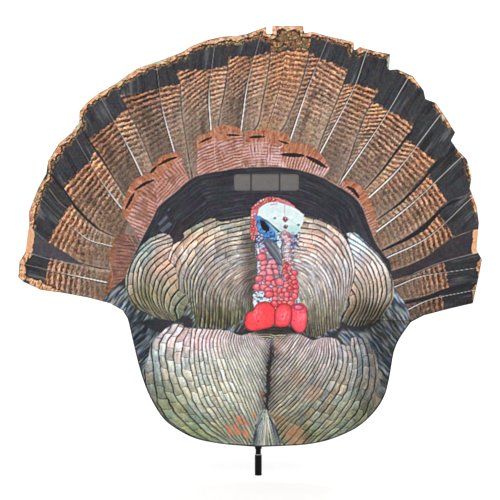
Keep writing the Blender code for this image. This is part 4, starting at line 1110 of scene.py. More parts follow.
def silhouette_edges():
    """The edges of the whole cloth: the panels' edges without the fold gaps and the window."""
    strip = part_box("centre_panel_lower")
    gaps = (strip[0].x / MM, strip[1].x / MM)
    low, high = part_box("left_window_mesh")[0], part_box("right_window_mesh")[1]
    edges = []
    for node in SILHOUETTE_NODES:
        for a, b in front_edges(node):
            x, z = (a[0] + b[0]) / 2, (a[1] + b[1]) / 2
            on_gap = abs(a[0] - b[0]) < 0.5 and min(abs(x - g) for g in gaps) < 0.5
            on_window = low.x / MM - 1 < x < high.x / MM + 1 and low.z / MM - 1 < z < high.z / MM + 1
            if not on_gap and not on_window:
                edges.append((a, b))
    return np.array(edges)


def nearest_on(edges, x, z):
    """The distance to the nearest of the edges, and the nearest point itself."""
    best = np.full(x.shape, 1e9)
    nx, nz = x.copy(), z.copy()
    for a, b in edges:
        d = b - a
        length2 = d @ d
        if length2 < 1e-9:
            continue
        t = np.clip(((x - a[0]) * d[0] + (z - a[1]) * d[1]) / length2, 0, 1)
        qx, qz = a[0] + t * d[0], a[1] + t * d[1]
        gap = (x - qx) ** 2 + (z - qz) ** 2
        near = gap < best
        best, nx, nz = np.where(near, gap, best), np.where(near, qx, nx), np.where(near, qz, nz)
    return np.sqrt(best), nx, nz


def rounded_window(inset=0.0, corner=5.0):
    """The outline of the window, with round corners."""
    low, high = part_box("left_window_mesh")[0] / MM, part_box("right_window_mesh")[1] / MM
    x0, x1, z0, z1 = low.x + inset, high.x - inset, low.z + inset, high.z - inset
    points = []
    for cx, cz, start in ((x1 - corner, z1 - corner, 0), (x0 + corner, z1 - corner, 90),
                          (x0 + corner, z0 + corner, 180), (x1 - corner, z0 + corner, 270)):
        for k in range(7):
            a = math.radians(start + 15 * k)
            points.append((cx + corner * math.cos(a), cz + corner * math.sin(a)))
    return np.array(points)


def relief(x, z):
    """How far the stretched cloth stands forward: pulls that run in from the hem, and a little slack."""
    dx, dz = x - 14, z - 250
    radius, turn = np.hypot(dx, dz), np.arctan2(dz, dx)
    pulls = noise(turn * 9 + 2, radius / 260, 801)
    pulls = np.clip(pulls, 0, 1) ** 1.5 * ease(150, 380, radius)
    fine = np.clip(noise(turn * 26, radius / 170, 803), 0, 1) ** 2 * ease(260, 400, radius) * 0.5
    slack = 0.5 + 0.5 * noise(x / 70, z / 90, 805)
    waist = np.exp(-((x + 195) * 0.5 + (z - 235) * 0.5) ** 2 / 60.0)
    waist = waist * np.exp(-((x + 190) ** 2 + (z - 235) ** 2) / 2600.0)
    return 1.7 * pulls + 0.8 * fine + 0.7 * slack + 1.2 * waist


def front_depth(x, z):
    """The y of the printed cloth."""
    return CLOTH_FRONT - relief(x, z)


def net_depth(x, z):
    """The y of the window's net, just behind the print's own level."""
    return CLOTH_FRONT + 0.25 - relief(x, z)


def lining_depth(x, z, over=0.0):
    """The y of the lining, or of what is sewn over its back."""
    return LINING_FRONT - LINING_SHARE * relief(x, z) + over


# ------------------------------------------------------------------ meshes
def new_mesh(name, vertices, faces, material):
    """A smooth-shaded object, from places in metres."""
    mesh = bpy.data.meshes.new(name)
    mesh.from_pydata([tuple(v) for v in vertices], [], [tuple(f) for f in faces])
    mesh.materials.append(material)
    mesh.shade_smooth()
    obj = bpy.data.objects.new(name, mesh)
    bpy.context.scene.collection.objects.link(obj)
    return obj


def used_part(name, vertices, faces, material):
    """An object of the faces and of the vertices that they use, from places in millimetres."""
    used = sorted({i for face in faces for i in face})
    index = {old: new for new, old in enumerate(used)}
    return new_mesh(name, vertices[used] * MM, [tuple(index[i] for i in f) for f in faces], material)


def open_edges(faces):
    """The edges that only one of the faces has, in that face's direction."""
    found = {}
    for face in faces:
        for a, b in zip(face, face[1:] + face[:1]):
            found.setdefault((min(a, b), max(a, b)), []).append((a, b))
    return [uses[0] for uses in found.values() if len(uses) == 1]


class Weave:
    """A square raster over the silhouette. Its cells are the cloth's faces, and its border is the outline."""

    def __init__(self, step, edges, inset=0.0):
        low, high = edges.reshape(-1, 2).min(0) - 4, edges.reshape(-1, 2).max(0) + 4
        xs = np.arange(low[0], high[0], step)
        zs = np.arange(low[1], high[1], step)
        self.x, self.z = np.meshgrid(xs, zs)
        self.edges, self.step, self.inset = edges, step, inset
        self.gap, self.nx, self.nz = nearest_on(edges, self.x, self.z)
        self.depth = np.where(inside(edges, self.x, self.z), self.gap, -self.gap) - inset
        self.hole = edge_distance(rounded_window(), self.x, self.z)
        arch = np.vstack([smooth_line(ARCH_EDGE), [(255, 0), (-262, 0)]])
        self.body = edge_distance(arch, self.x, self.z)
        self.kept = (self.centre(self.depth) > 0) & (self.centre(self.hole) < 0)
        self.snap()

    @staticmethod
    def centre(field):
        """A field's value at the middle of each cell."""
        return (field[:-1, :-1] + field[1:, :-1] + field[:-1, 1:] + field[1:, 1:]) / 4

    def snap(self):
        """Moves the border's points on to the outline or the window's edge."""
        count = np.zeros(self.x.shape, int)
        for rows, columns in ((slice(0, -1), slice(0, -1)), (slice(1, None), slice(0, -1)),
                              (slice(0, -1), slice(1, None)), (slice(1, None), slice(1, None))):
            count[rows, columns] += self.kept
        border = (count > 0) & (count < 4)
        outer = border & (np.abs(self.depth) < 1.6 * self.step)
        push = self.inset / np.maximum(self.gap, 1e-6) * np.where(self.depth + self.inset > 0, 1, -1)
        self.px, self.pz = self.x.copy(), self.z.copy()
        self.px[outer] = (self.nx + (self.x - self.nx) * push)[outer]
        self.pz[outer] = (self.nz + (self.z - self.nz) * push)[outer]
        inner = border & ~outer & (np.abs(self.hole) < 1.6 * self.step)
        _, wx, wz = nearest_on(ring_edges(rounded_window()), self.x, self.z)
        self.px[inner], self.pz[inner] = wx[inner], wz[inner]
        self.outer = outer

    def piece(self, name, cells, y_of, material, colours=None, skirt=None, flip=False):
        """A mesh of the chosen cells, at the depths of y_of. A skirt closes its outer edge back to that y."""
        rows, columns = np.nonzero(cells)
        width = self.x.shape[1]
        first = rows * width + columns
        corners = np.stack([first, first + 1, first + width + 1, first + width], 1)
        used, faces = np.unique(corners, return_inverse=True)
        faces = faces.reshape(-1, 4)
        px, pz = self.px.ravel()[used], self.pz.ravel()[used]
        vertices = np.stack([px, y_of(px, pz), pz], 1)
        faces = faces.tolist()
        tint = None if colours is None else colours.reshape(-1, 3)[used]
        if skirt is not None:
            on_edge = self.outer.ravel()[used]
            twins = {}
            extra, extra_tint, walls = [], [], []

            def twin(i):
                """The point behind a border point, made once."""
                if i not in twins:
                    twins[i] = len(vertices) + len(extra)
                    extra.append((vertices[i][0], skirt, vertices[i][2]))
                    if tint is not None:
                        extra_tint.append(tint[i] * 0.45)
                return twins[i]

            for a, b in open_edges(faces):
                if on_edge[a] and on_edge[b]:
                    walls.append((b, a, twin(a), twin(b)))
            vertices = np.vstack([vertices, np.array(extra).reshape(-1, 3)])
            if tint is not None:
                tint = np.vstack([tint, np.array(extra_tint).reshape(-1, 3)])
            faces += walls
        if flip:
            faces = [tuple(reversed(f)) for f in faces]
        obj = new_mesh(name, vertices * MM, faces, material)
        if tint is not None:
            layer = obj.data.color_attributes.new("PrintAndPaintedLight", "FLOAT_COLOR", "POINT")
            values = np.ones((len(vertices), 4), np.float32)
            s = np.clip(tint / 255, 0, 1)
            values[:, :3] = np.where(s <= 0.04045, s / 12.92, ((s + 0.055) / 1.055) ** 2.4)
            layer.data.foreach_set("color", values.ravel())
        return obj


def chained(edges):
    """The edges as one closed outline, in order."""
    left = [tuple(map(tuple, e)) for e in edges.tolist()]
    path = list(left.pop(0))
    while left:
        gaps = [min(math.dist(path[-1], a), math.dist(path[-1], b)) for a, b in left]
        k = int(np.argmin(gaps))
        a, b = left.pop(k)
        path += [a, b] if math.dist(path[-1], a) < math.dist(path[-1], b) else [b, a]
    outline = [path[0]]
    for point in path[1:]:
        if math.dist(point, outline[-1]) > 0.4:
            outline.append(point)
    return np.array(outline)


def evened(line, step):
    """The same line with points a step apart."""
    run = np.concatenate([[0], np.cumsum(np.linalg.norm(np.diff(line, axis=0), axis=1))])
    places = np.arange(0, run[-1], step)
    return np.stack([np.interp(places, run, line[:, k]) for k in (0, 1)], 1)


def outward_of(line, closed):
    """The unit normals of a line in the silhouette's plane, on its right-hand side."""
    ahead = np.roll(line, -1, axis=0) - np.roll(line, 1, axis=0)
    if not closed:
        ahead[0], ahead[-1] = line[1] - line[0], line[-1] - line[-2]
    ahead = ahead / np.maximum(np.linalg.norm(ahead, axis=1), 1e-9)[:, None]
    return np.stack([ahead[:, 1], -ahead[:, 0]], 1)


def swept(name, line, section, material, puckers=0.0, seed=1):
    """A strip of cloth along a line. The section holds (offset to the right, y) pairs."""
    normals = outward_of(line, False)
    run = np.arange(len(line), dtype=float)
    vertices = []
    for k, (offset, y) in enumerate(section):
        depth = y + puckers * noise(run / 2.3, run * 0 + k * 0.7, seed)
        side = offset * (1 + 0.25 * puckers * noise(run / 3.1, run * 0 + k * 0.4, seed + 1))
        x, z = line[:, 0] + normals[:, 0] * side, line[:, 1] + normals[:, 1] * side
        vertices.append(np.stack([x, depth, z], 1))
    count, rows = len(line), len(section)
    vertices = np.concatenate(vertices)
    faces = [(k * count + i, k * count + i + 1, (k + 1) * count + i + 1, (k + 1) * count + i)
             for k in range(rows - 1) for i in range(count - 1)]
    return new_mesh(name, vertices * MM, faces, material)


def stitches(name, places, directions, length=3.1, width=0.95, height=0.4):
    """A row of raised stitches: places hold (x, y, z) and directions unit (x, z)."""
    vertices, faces = [], []
    for (x, y, z), (dx, dz) in zip(places, directions):
        base = len(vertices)
        for along, half, rise in ((-0.5, 0.12, 0.0), (-0.3, 0.5, 1.0), (0.3, 0.5, 1.0), (0.5, 0.12, 0.0)):
            for side in (-1, 0, 1):
                a, s = along * length, side * half * width
                lift = rise * height if side == 0 else 0.35 * rise * height
                vertices.append((x + dx * a - dz * s, y + lift, z + dz * a + dx * s))
        for r in range(3):
            for c in range(2):
                i = base + 3 * r + c
                faces.append((i, i + 1, i + 4, i + 3))
    return new_mesh(name, np.array(vertices) * MM, faces, THREAD)


# ------------------------------------------------------------------ materials
def material_nodes(name):
    """A new material, with its nodes, its links and its shader."""
    material = bpy.data.materials.new(name)
    material.use_nodes = True
    nodes, links = material.node_tree.nodes, material.node_tree.links
    shader = nodes["Principled BSDF"]
    return material, nodes, links, shader


def add(nodes, kind, **settings):
    """A new shader node with the settings."""
    node = nodes.new("ShaderNode" + kind)
    for key, value in settings.items():
        setattr(node, key, value)
    return node


def object_place(nodes, links, scale):
    """The place on the object, scaled in each direction."""
    place = nodes.new("ShaderNodeTexCoord")
    mapping = nodes.new("ShaderNodeMapping")
    mapping.inputs["Scale"].default_value = scale
    links.new(place.outputs["Object"], mapping.inputs["Vector"])
    return mapping.outputs["Vector"]


def threads(nodes, links, pitch):
    """A plain weave's height, from two crossing wave textures."""
    heights = []
    for direction in ("X", "Z"):
        wave = add(nodes, "TexWave", wave_type="BANDS", bands_direction=direction, wave_profile="SIN")
        wave.inputs["Scale"].default_value = 0.314 / pitch
        wave.inputs["Distortion"].default_value = 0.6
        wave.inputs["Detail"].default_value = 1.0
        links.new(object_place(nodes, links, (1, 1, 1)), wave.inputs["Vector"])
        heights.append(wave.outputs["Fac"])
    product = add(nodes, "Math", operation="MULTIPLY")
    links.new(heights[0], product.inputs[0])
    links.new(heights[1], product.inputs[1])
    return product.outputs[0]


def noise_of(nodes, links, scale, detail=3.0, stretch=(1, 1, 1)):
    """A noise texture on the object."""
    texture = nodes.new("ShaderNodeTexNoise")
    texture.inputs["Scale"].default_value = scale
    texture.inputs["Detail"].default_value = detail
    texture.inputs["Roughness"].default_value = 0.55
    links.new(object_place(nodes, links, stretch), texture.inputs["Vector"])
    return texture.outputs["Fac"]


def spread(nodes, links, value, low, high, from_low=0.3, from_high=0.7):
    """Maps a 0 to 1 value to another range."""
    node = nodes.new("ShaderNodeMapRange")
    for key, number in (("From Min", from_low), ("From Max", from_high), ("To Min", low), ("To Max", high)):
        node.inputs[key].default_value = number
    links.new(value, node.inputs["Value"])
    return node.outputs["Result"]


def scaled_colour(nodes, links, colour, factor):
    """A colour, from a socket or three numbers, times a value."""
    node = add(nodes, "VectorMath", operation="SCALE")
    if isinstance(colour, tuple):
        node.inputs[0].default_value = colour
    else:
        links.new(colour, node.inputs[0])
    links.new(factor, node.inputs["Scale"])
    return node.outputs["Vector"]


def bumped(nodes, links, shader, *layers):
    """Stacks bump layers, each of them (height, strength, distance)."""
    normal = None
    for height, strength, distance in layers:
        bump = nodes.new("ShaderNodeBump")
        bump.inputs["Strength"].default_value = strength
        bump.inputs["Distance"].default_value = distance
        links.new(height, bump.inputs["Height"])
        if normal is not None:
            links.new(normal, bump.inputs["Normal"])
        normal = bump.outputs["Normal"]
    links.new(normal, shader.inputs["Normal"])


def printed_cloth():
    """The front's cloth: its vertex colours are the print, with painted fold highlights and shade in the
    tail's charcoal.
    """
    material, nodes, links, shader = material_nodes("printed_cloth_front")
    ink = add(nodes, "Attribute", attribute_name="PrintAndPaintedLight")
    grain = spread(nodes, links, noise_of(nodes, links, 1500, 2.0), 0.93, 1.07)
    links.new(scaled_colour(nodes, links, ink.outputs["Color"], grain), shader.inputs["Base Color"])
    links.new(spread(nodes, links, noise_of(nodes, links, 90), 0.58, 0.78), shader.inputs["Roughness"])
    shader.inputs["Sheen Weight"].default_value = 0.02
    shader.inputs["Specular IOR Level"].default_value = 0.14
    bumped(nodes, links, shader, (noise_of(nodes, links, 34, 3.0), 0.5, 0.003),
           (threads(nodes, links, 0.0009), 0.12, 0.00012))
    return material


def window_net():
    """The see-through net: its colours carry painted shade in the fold creases and along the window's edge,
    and a part of what is behind shows through.
    """
    material, nodes, links, shader = material_nodes("window_net")
    ink = add(nodes, "Attribute", attribute_name="PrintAndPaintedLight")
    mesh = spread(nodes, links, threads(nodes, links, 0.0012), 0.7, 1.25, 0.0, 1.0)
    links.new(scaled_colour(nodes, links, ink.outputs["Color"], mesh), shader.inputs["Base Color"])
    links.new(spread(nodes, links, noise_of(nodes, links, 120), 0.7, 0.9), shader.inputs["Roughness"])
    shader.inputs["Specular IOR Level"].default_value = 0.15
    shader.inputs["Alpha"].default_value = 0.93
    bumped(nodes, links, shader, (threads(nodes, links, 0.0012), 0.5, 0.0003))
    return material


def plain_cloth(name, tone, rough=0.85, pitch=0.0009, mottle=0.12, sheen=0.1):
    """Woven cloth, webbing, thread or braid of one colour. pitch is the weave's, in metres."""
    material, nodes, links, shader = material_nodes(name)
    factor = spread(nodes, links, noise_of(nodes, links, 240, 4.0), 1 - mottle, 1 + mottle)
    weave = spread(nodes, links, threads(nodes, links, pitch), 0.86, 1.08, 0.0, 1.0)
    both = add(nodes, "Math", operation="MULTIPLY")
    links.new(factor, both.inputs[0])
    links.new(weave, both.inputs[1])
    links.new(scaled_colour(nodes, links, tone, both.outputs[0]), shader.inputs["Base Color"])
    uneven = spread(nodes, links, noise_of(nodes, links, 120), rough - 0.08, rough + 0.08)
    links.new(uneven, shader.inputs["Roughness"])
    shader.inputs["Sheen Weight"].default_value = sheen
    bumped(nodes, links, shader, (noise_of(nodes, links, 30, 3.0), 0.6, 0.004),
           (threads(nodes, links, pitch), 0.4, 0.0002))
    return material


def hard_surface(name, tone, rough, metallic=0.0, mottle=0.12, stretch=(1, 1, 1), specular=0.5):
    """Moulded plastic, fibreglass or metal: faint tone changes, uneven gloss and a fine surface grain."""
    material, nodes, links, shader = material_nodes(name)
    factor = spread(nodes, links, noise_of(nodes, links, 150, 4.0, stretch), 1 - mottle, 1 + mottle)
    links.new(scaled_colour(nodes, links, tone, factor), shader.inputs["Base Color"])
    links.new(spread(nodes, links, noise_of(nodes, links, 400, 4.0, stretch), rough - 0.1, rough + 0.1),
              shader.inputs["Roughness"])
    shader.inputs["Metallic"].default_value = metallic
    shader.inputs["Specular IOR Level"].default_value = specular
    bumped(nodes, links, shader, (noise_of(nodes, links, 1200, 3.0, stretch), 0.15, 0.0002))
    return material


PRINT_CLOTH = printed_cloth()
LINING = plain_cloth("lining_cloth", (0.036, 0.040, 0.029))
HEM_TAPE = plain_cloth("hem_tape", (0.016, 0.017, 0.015), pitch=0.0011, sheen=0.15)
THREAD = plain_cloth("sewing_thread", (0.17, 0.18, 0.14), rough=0.6, pitch=0.0006)
SLEEVE_CLOTH = plain_cloth("sleeve_cloth", (0.026, 0.028, 0.022), pitch=0.0010, mottle=0.15)
WEBBING = plain_cloth("webbing", (0.008, 0.008, 0.008), rough=0.75, pitch=0.0016, sheen=0.2)
NET = window_net()
BLACK_PLASTIC = hard_surface("moulded_black", (0.0034, 0.0034, 0.0037), 0.42, mottle=0.2, specular=0.08)
FIBREGLASS = hard_surface("pole_black", (0.0032, 0.0032, 0.0035), 0.33, stretch=(1, 1, 0.06), mottle=0.25,
                          specular=0.1)
STEEL_COAT = hard_surface("coated_wire", (0.014, 0.014, 0.015), 0.45, metallic=0.2, mottle=0.25)
ALUMINIUM = hard_surface("satin_sleeve", (0.55, 0.55, 0.56), 0.34, metallic=1.0, stretch=(1, 1, 0.1),
                         mottle=0.08)
NYLON = hard_surface("pale_nylon_ring", (0.46, 0.46, 0.43), 0.5, mottle=0.06)
CORD = plain_cloth("braided_cord", (0.03, 0.03, 0.03), pitch=0.0007, mottle=0.3)


# ------------------------------------------------------------------ the cloth pieces
edges = silhouette_edges()
weave = Weave(STEP, edges)
picture = Patch(weave.x, weave.z, np.full(weave.x.shape + (3,), 120.0))
rim = Patch(weave.x, weave.z, weave.gap[..., None])
paint_fan(picture, rim)
paint_coverts(picture)
paint_dark_band(picture)
paint_body(picture)
paint_head(picture)
paint_rim_marks(picture)
paint_hem_line(picture, rim)
finish_print(picture)


def joined_at_fold(obj):
    """Bakes the piece's place into its mesh."""
    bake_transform(obj)
    return obj


left_cells = weave.centre(weave.x) < SPLIT_X
body_cells = weave.centre(weave.body) > 0
cloth_pieces = {}
for name, cells, nodes_replaced in (
        ("fan_left", left_cells & ~body_cells, ("left_panel", "centre_panel_upper")),
        ("fan_right", ~left_cells & ~body_cells, ("right_panel", "centre_panel_upper")),
        ("body_left", left_cells & body_cells, ("left_panel", "centre_panel_lower")),
        ("body_right", ~left_cells & body_cells, ("right_panel", "centre_panel_lower"))):
    obj = weave.piece(name, weave.kept & cells, front_depth, PRINT_CLOTH, picture.rgb, skirt=LINING_FRONT)
    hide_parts(*nodes_replaced)
    joined_at_fold(obj)
    cloth_pieces[name] = obj


coarse = Weave(COARSE_STEP, edges, inset=0.35)
coarse_left = coarse.centre(coarse.x) < SPLIT_X
for side, cells in (("left", coarse_left), ("right", ~coarse_left)):
    obj = coarse.piece("lining_" + side, coarse.kept & cells, lining_depth, LINING, flip=True)
    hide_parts(side + "_panel")
    joined_at_fold(obj)
    cloth_pieces["lining_" + side] = obj

in_window = (weave.centre(weave.hole) > -1.6) & (weave.centre(weave.depth) > 0)
net_tone_and_painted_shade = Patch(weave.x, weave.z, np.full(weave.x.shape + (3,), 1.0) * (92, 85, 82))
uneven = 0.05 * cloud(weave.x / 9, weave.z / 7, 811)
net_tone_and_painted_shade.shade(1 + uneven + 0.05 * noise(weave.x / 1.3, weave.z / 1.3, 813))
# Painted shade: dark lines in the net's creases at the two folds.
for fold_x in (LEFT_FOLD_X, RIGHT_FOLD_X):
    net_tone_and_painted_shade.lay((40, 37, 36), 0.55 * (1 - ease(0.3, 0.9, np.abs(weave.x - fold_x))))
# Painted shade: the net darker towards the window's edge.
net_tone_and_painted_shade.shade(1 - 0.25 * (1 - ease(0, 4, weave.hole)))
for side, cells in (("left", left_cells), ("right", ~left_cells)):
    obj = weave.piece("window_" + side, in_window & cells, net_depth, NET, net_tone_and_painted_shade.rgb)
    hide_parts(side + "_window_mesh", "centre_window_mesh")
    joined_at_fold(obj)
    cloth_pieces["window_" + side] = obj


# ------------------------------------------------------------------ the back: tapes, sleeves, loops and seams
sewn_on = {"left": [], "right": []}


def sewn(obj, side, body=None):
    """Lists a piece as sewn to that side's cloth, and lets it ride on the body."""
    sewn_on[side].append(obj)
    if body:
        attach(obj, body)


def wing_of(x):
    """The body that cloth at that place moves with."""
    if x < LEFT_FOLD_X:
        return "left_wing"
    return "right_wing" if x > RIGHT_FOLD_X else "spine"


def tape_pieces(name, rows, line_x):
    """A closed tape from rows of points along a line, cut into a left and a right piece."""
    count = len(line_x)
    for side in ("left", "right"):
        here = line_x < SPLIT_X if side == "left" else line_x >= SPLIT_X
        faces = [(k * count + i, k * count + (i + 1) % count, (k + 1) * count + (i + 1) % count,
                  (k + 1) * count + i)
                 for i in range(count) if here[i] for k in range(len(rows) - 1)]
        obj = used_part(name + "_" + side, np.concatenate(rows), faces, HEM_TAPE)
        joined_at_fold(obj)
        sewn(obj, side)


def hem_tape():
    """The tape that is folded over the edge at the back, with its row of stitches."""
    outline = evened(chained(edges), TAPE_STEP)
    x, z = outline.T
    if np.sum(x * np.roll(z, -1) - np.roll(x, -1) * z) < 0:
        outline = outline[::-1]
    smooth = sum(np.roll(outline, k, axis=0) for k in (-2, -1, 0, 1, 2)) / 5
    normals = outward_of(smooth, True)
    rows = []
    for inset, lift in ((0.1, -0.25), (0.25, 0.5), (2.5, 0.75), (5.6, 0.62), (6.6, 0.1)):
        x, z = outline[:, 0] - normals[:, 0] * inset, outline[:, 1] - normals[:, 1] * inset
        ripple = 0.22 * noise(np.arange(len(x)) / 2.1, np.zeros(len(x)) + inset, 821) if inset > 2 else 0.0
        rows.append(np.stack([x, lining_depth(x, z, lift) + ripple, z], 1))
    tape_pieces("hem_tape", rows, outline[:, 0])
    places = evened(outline - normals * 4.6, STITCH_PITCH)
    lie = outward_of(places, False)
    groups = {}
    for (x, z), (nx, nz) in zip(places, lie):
        groups.setdefault(wing_of(x), []).append(((x, lining_depth(x, z, 0.72), z), (-nz, nx)))
    for body, row in groups.items():
        sewn(stitches("hem_seam_" + body, *zip(*row)), "right" if body == "right_wing" else "left", body)


def wire_sleeve(name, route, side, outer, ends):
    """The channel of cloth that holds a bent wire, and its seam. ends is how far it stops short."""
    line = evened(smooth_line(np.array(route) / MM), TAPE_STEP)
    first, last = int(ends[0] / TAPE_STEP), len(line) - int(ends[1] / TAPE_STEP)
    line = line[first:last]
    sign = -outer if side == "left" else outer
    inner = 6.2 if side == "left" else -6.2
    out, back = math.copysign(1.0, sign), math.copysign(1.0, inner)
    section = [(sign, -6.2), (sign * 0.82, -5.3), (2.35 * out, -3.4), (1.8 * out, -1.75), (0.75 * out, -0.95),
               (0.0, -0.82), (0.75 * back, -0.95), (1.8 * back, -1.75), (2.4 * back, -3.4),
               (inner * 0.6, -5.3), (inner * 0.82, -6.0), (inner, -6.25)]
    obj = swept(name, line, section, SLEEVE_CLOTH, puckers=0.16, seed=int(abs(route[0][0]) * 1e4) + 3)
    sewn(obj, side, side + "_wing")
    seam = evened(line + outward_of(line, False) * inner * 0.86, STITCH_PITCH)
    lie = outward_of(seam, False)
    rows = [((x, -5.95, z), (-nz, nx)) for (x, z), (nx, nz) in zip(seam, lie)]
    sewn(stitches(name + "_seam", *zip(*rows)), side, side + "_wing")


def rod_tab(side, z, height=15.0):
    """A loop of webbing that ties a hinge rod to its wing's cloth."""
    fold, away = (LEFT_FOLD_X, -1) if side == "left" else (RIGHT_FOLD_X, 1)
    path = [(away * 13.0, -6.05), (away * 6.5, -5.85), (away * 3.6, -5.1), (away * 2.5, -3.4),
            (away * 1.7, -1.2), (0.0, -0.5), (-away * 1.7, -1.25), (-away * 2.45, -3.0),
            (-away * 1.75, -4.75), (0.0, -5.45), (away * 2.2, -5.5), (away * 6.5, -5.95)]
    rows = []
    for share in (-0.5, -0.47, -0.2, 0.2, 0.47, 0.5):
        thin = 0.25 if abs(share) == 0.5 else 0.0
        for dx, y in path:
            rows.append((fold + dx, y - thin * (1 if y > WIRE_Y else 0), z + share * height))
    wide = len(path)
    faces = [(r * wide + c, r * wide + c + 1, (r + 1) * wide + c + 1, (r + 1) * wide + c)
             for r in range(5) for c in range(wide - 1)]
    tab = new_mesh("%s_rod_tab_%d" % (side, int(z)), np.array(rows) * MM, faces, WEBBING)
    solid = tab.modifiers.new("thickness", "SOLIDIFY")
    solid.thickness = 0.0005
    solid.offset = 0.0
    sewn(tab, side, side + "_wing")
    box = []
    for t in np.linspace(-0.36, 0.36, 5):
        box += [((fold + away * 11.6, -5.75, z + t * height), (0, 1)),
                ((fold + away * 7.0, -5.6, z + t * height), (0, 1))]
    for x_off in (8.1, 10.4):
        box += [((fold + away * x_off, -5.7, z - 0.4 * height), (1, 0)),
                ((fold + away * x_off, -5.7, z + 0.4 * height), (1, 0))]
    sewn(stitches("%s_rod_tab_%d_seam" % (side, int(z)), *zip(*box), length=2.2), side, side + "_wing")


def window_tape():
    """The tape round the window at the back."""
    ring = rounded_window(inset=-0.3)
    ring = evened(np.vstack([ring, ring[:1]]), 1.6)
    normals = outward_of(np.vstack([ring[-3:], ring, ring[:3]]), False)[3:-3]
    rows = []
    for offset, lift in ((-0.6, -0.15), (-0.45, 0.5), (2.0, 0.62), (4.6, 0.55), (5.2, 0.08)):
        x, z = ring[:, 0] + normals[:, 0] * offset, ring[:, 1] + normals[:, 1] * offset
        rows.append(np.stack([x, lining_depth(x, z, lift), z], 1))
    tape_pieces("window_tape", rows, ring[:, 0])


# The bent wires' routes, in metres, as in the part's source.
LEFT_BODY_ROUTE = [(-0.017, 0.0515), (-0.063, 0.0563), (-0.101, 0.0645), (-0.129, 0.078), (-0.152, 0.0955),
                   (-0.1695, 0.1215), (-0.1827, 0.149), (-0.1938, 0.184), (-0.2038, 0.226), (-0.211, 0.258),
                   (-0.219, 0.2735), (-0.232, 0.282)]
LEFT_FAN_ROUTE = [(-0.2325, 0.2823), (-0.248, 0.291), (-0.280, 0.299), (-0.320, 0.308), (-0.356, 0.314),
                  (-0.375, 0.324), (-0.381, 0.345), (-0.373, 0.384), (-0.366, 0.430), (-0.352, 0.470),
                  (-0.337, 0.510), (-0.312, 0.548), (-0.284, 0.586), (-0.250, 0.622), (-0.212, 0.650),
                  (-0.170, 0.672), (-0.120, 0.692), (-0.070, 0.706), (-0.017, 0.713)]
RIGHT_BODY_ROUTE = [(0.040, 0.0515), (0.078, 0.0545), (0.111, 0.0615), (0.1425, 0.0732), (0.1675, 0.088),
                    (0.191, 0.111), (0.2055, 0.1365), (0.2135, 0.170), (0.2195, 0.205), (0.229, 0.229),
                    (0.242, 0.2535), (0.2568, 0.2629)]
RIGHT_FAN_ROUTE = [(0.2573, 0.2632), (0.272, 0.2725), (0.312, 0.284), (0.336, 0.291), (0.345, 0.306),
                   (0.350, 0.345), (0.350, 0.380), (0.349, 0.416), (0.343, 0.450), (0.336, 0.485),
                   (0.325, 0.515), (0.308, 0.548), (0.288, 0.590), (0.265, 0.616), (0.243, 0.636),
                   (0.212, 0.658), (0.180, 0.677), (0.150, 0.691), (0.112, 0.704), (0.075, 0.711),
                   (0.040, 0.713)]
hem_tape()
window_tape()
ROUND_CRIMPS = (22, 14)  # how far the body sleeves stop short of the bottom and the waist crimps
TAB_HEIGHTS = (112, 168, 204, 292, 334, 380, 532, 580, 640)  # clear of the hinge brackets
wire_sleeve("left_body_sleeve", LEFT_BODY_ROUTE, "left", -2.9, ROUND_CRIMPS)
wire_sleeve("left_fan_sleeve", LEFT_FAN_ROUTE, "left", 5.0, ROUND_CRIMPS[::-1])
wire_sleeve("right_body_sleeve", RIGHT_BODY_ROUTE, "right", 2.9, ROUND_CRIMPS)
wire_sleeve("right_fan_sleeve", RIGHT_FAN_ROUTE, "right", 5.0, ROUND_CRIMPS[::-1])
for side in ("left", "right"):
    for z in TAB_HEIGHTS:
        rod_tab(side, z)

for name, obj in cloth_pieces.items():
    form, side = name.split("_")


# ------------------------------------------------------------------ the hardware
FINISHES = {"black_plastic": BLACK_PLASTIC, "pale_nylon": NYLON, "black_fibreglass": FIBREGLASS,
            "black_steel": STEEL_COAT, "aluminium_sleeve": ALUMINIUM, "elastic_cord": CORD,
            "printed_cloth": LINING, "window_mesh": NET}
SLOTS = {part["node"]: part["material_slot"] for part in frame["record"]["subparts"]}
for node, obj in frame["nodes"].items():
    finish = FINISHES[SLOTS[node]]
    if not obj.material_slots:
        obj.data.materials.append(finish)
    for holder in obj.material_slots:
        holder.material = finish
    if SLOTS[node] in ("black_plastic", "aluminium_sleeve", "pale_nylon"):
        bevel = obj.modifiers.new("broken_edges", "BEVEL")
        bevel.width = 0.0003
        bevel.segments = 2
        bevel.limit_method = "ANGLE"
        bevel.angle_limit = math.radians(40)
        obj.modifiers.new("even_shading", "WEIGHTED_NORMAL")


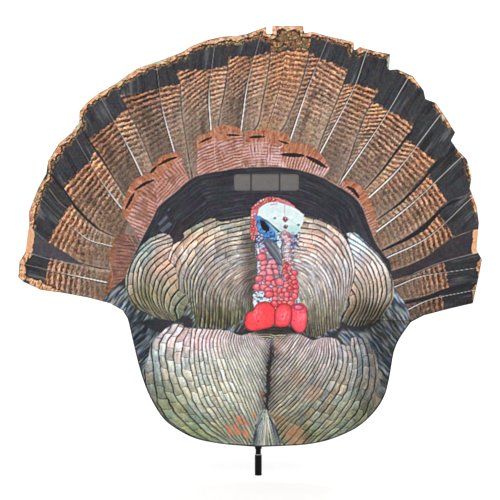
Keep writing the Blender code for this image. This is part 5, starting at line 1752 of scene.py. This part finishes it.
# ------------------------------------------------------------------ floor, light and camera
def studio():
    """A white floor that curves up into a wall behind the object."""
    width, depth, rise, curve = 6.0, 3.2, 3.2, 0.9
    profile = [(-depth, 0.0), (depth - curve, 0.0)]
    profile += [(depth - curve + curve * math.sin(a), curve * (1 - math.cos(a)))
                for a in np.linspace(0.1, math.pi / 2, 14)]
    profile.append((depth, rise))
    vertices = [(s * width, y, z) for y, z in profile for s in (-1, 1)]
    faces = [(2 * k, 2 * k + 1, 2 * k + 3, 2 * k + 2) for k in range(len(profile) - 1)]
    material, nodes, links, shader = material_nodes("studio_white")
    clouds = spread(nodes, links, noise_of(nodes, links, 3), 0.99, 1.0)
    links.new(scaled_colour(nodes, links, (0.92, 0.92, 0.92), clouds), shader.inputs["Base Color"])
    shader.inputs["Roughness"].default_value = 0.95
    shader.inputs["Emission Color"].default_value = (1, 1, 1, 1)
    shader.inputs["Emission Strength"].default_value = 0.22
    floor = new_mesh("studio_sweep", vertices, faces, material)


def area_light(name, place, target, size, power):
    """A round light at a place, turned to its target."""
    data = bpy.data.lights.new(name, "AREA")
    data.shape, data.size, data.energy = "DISK", size, power
    obj = bpy.data.objects.new(name, data)
    obj.location = place
    obj.rotation_euler = (Vector(target) - Vector(place)).to_track_quat("-Z", "Y").to_euler()
    bpy.context.scene.collection.objects.link(obj)


studio()
world = bpy.data.worlds.new("studio")
world.use_nodes = True
world.node_tree.nodes["Background"].inputs["Color"].default_value = (1, 1, 1, 1)
world.node_tree.nodes["Background"].inputs["Strength"].default_value = 0.90
bpy.context.scene.world = world
area_light("key", (-1.3, -1.6, 2.1), (0, 0, 0.40), 0.6, 8)
area_light("fill", (1.8, -1.9, 0.9), (0, 0, 0.35), 1.6, 2)
area_light("back", (1.2, 1.7, 1.9), (0, 0, 0.40), 0.7, 14)
bpy.context.scene.view_settings.view_transform = "Standard"

LENS = 85
SENSOR = 36
VIEW_WIDTH = 0.823  # metres across the picture, at the cloth
camera_data = bpy.data.cameras.new("camera")
camera_data.lens = LENS
camera_data.sensor_width = SENSOR
camera = bpy.data.objects.new("camera", camera_data)
camera.location = (-0.0137, CLOTH_FRONT * MM - VIEW_WIDTH * LENS / SENSOR, 0.3717)
camera.rotation_euler = (math.radians(90), 0, 0)
bpy.context.scene.collection.objects.link(camera)
bpy.context.scene.camera = camera
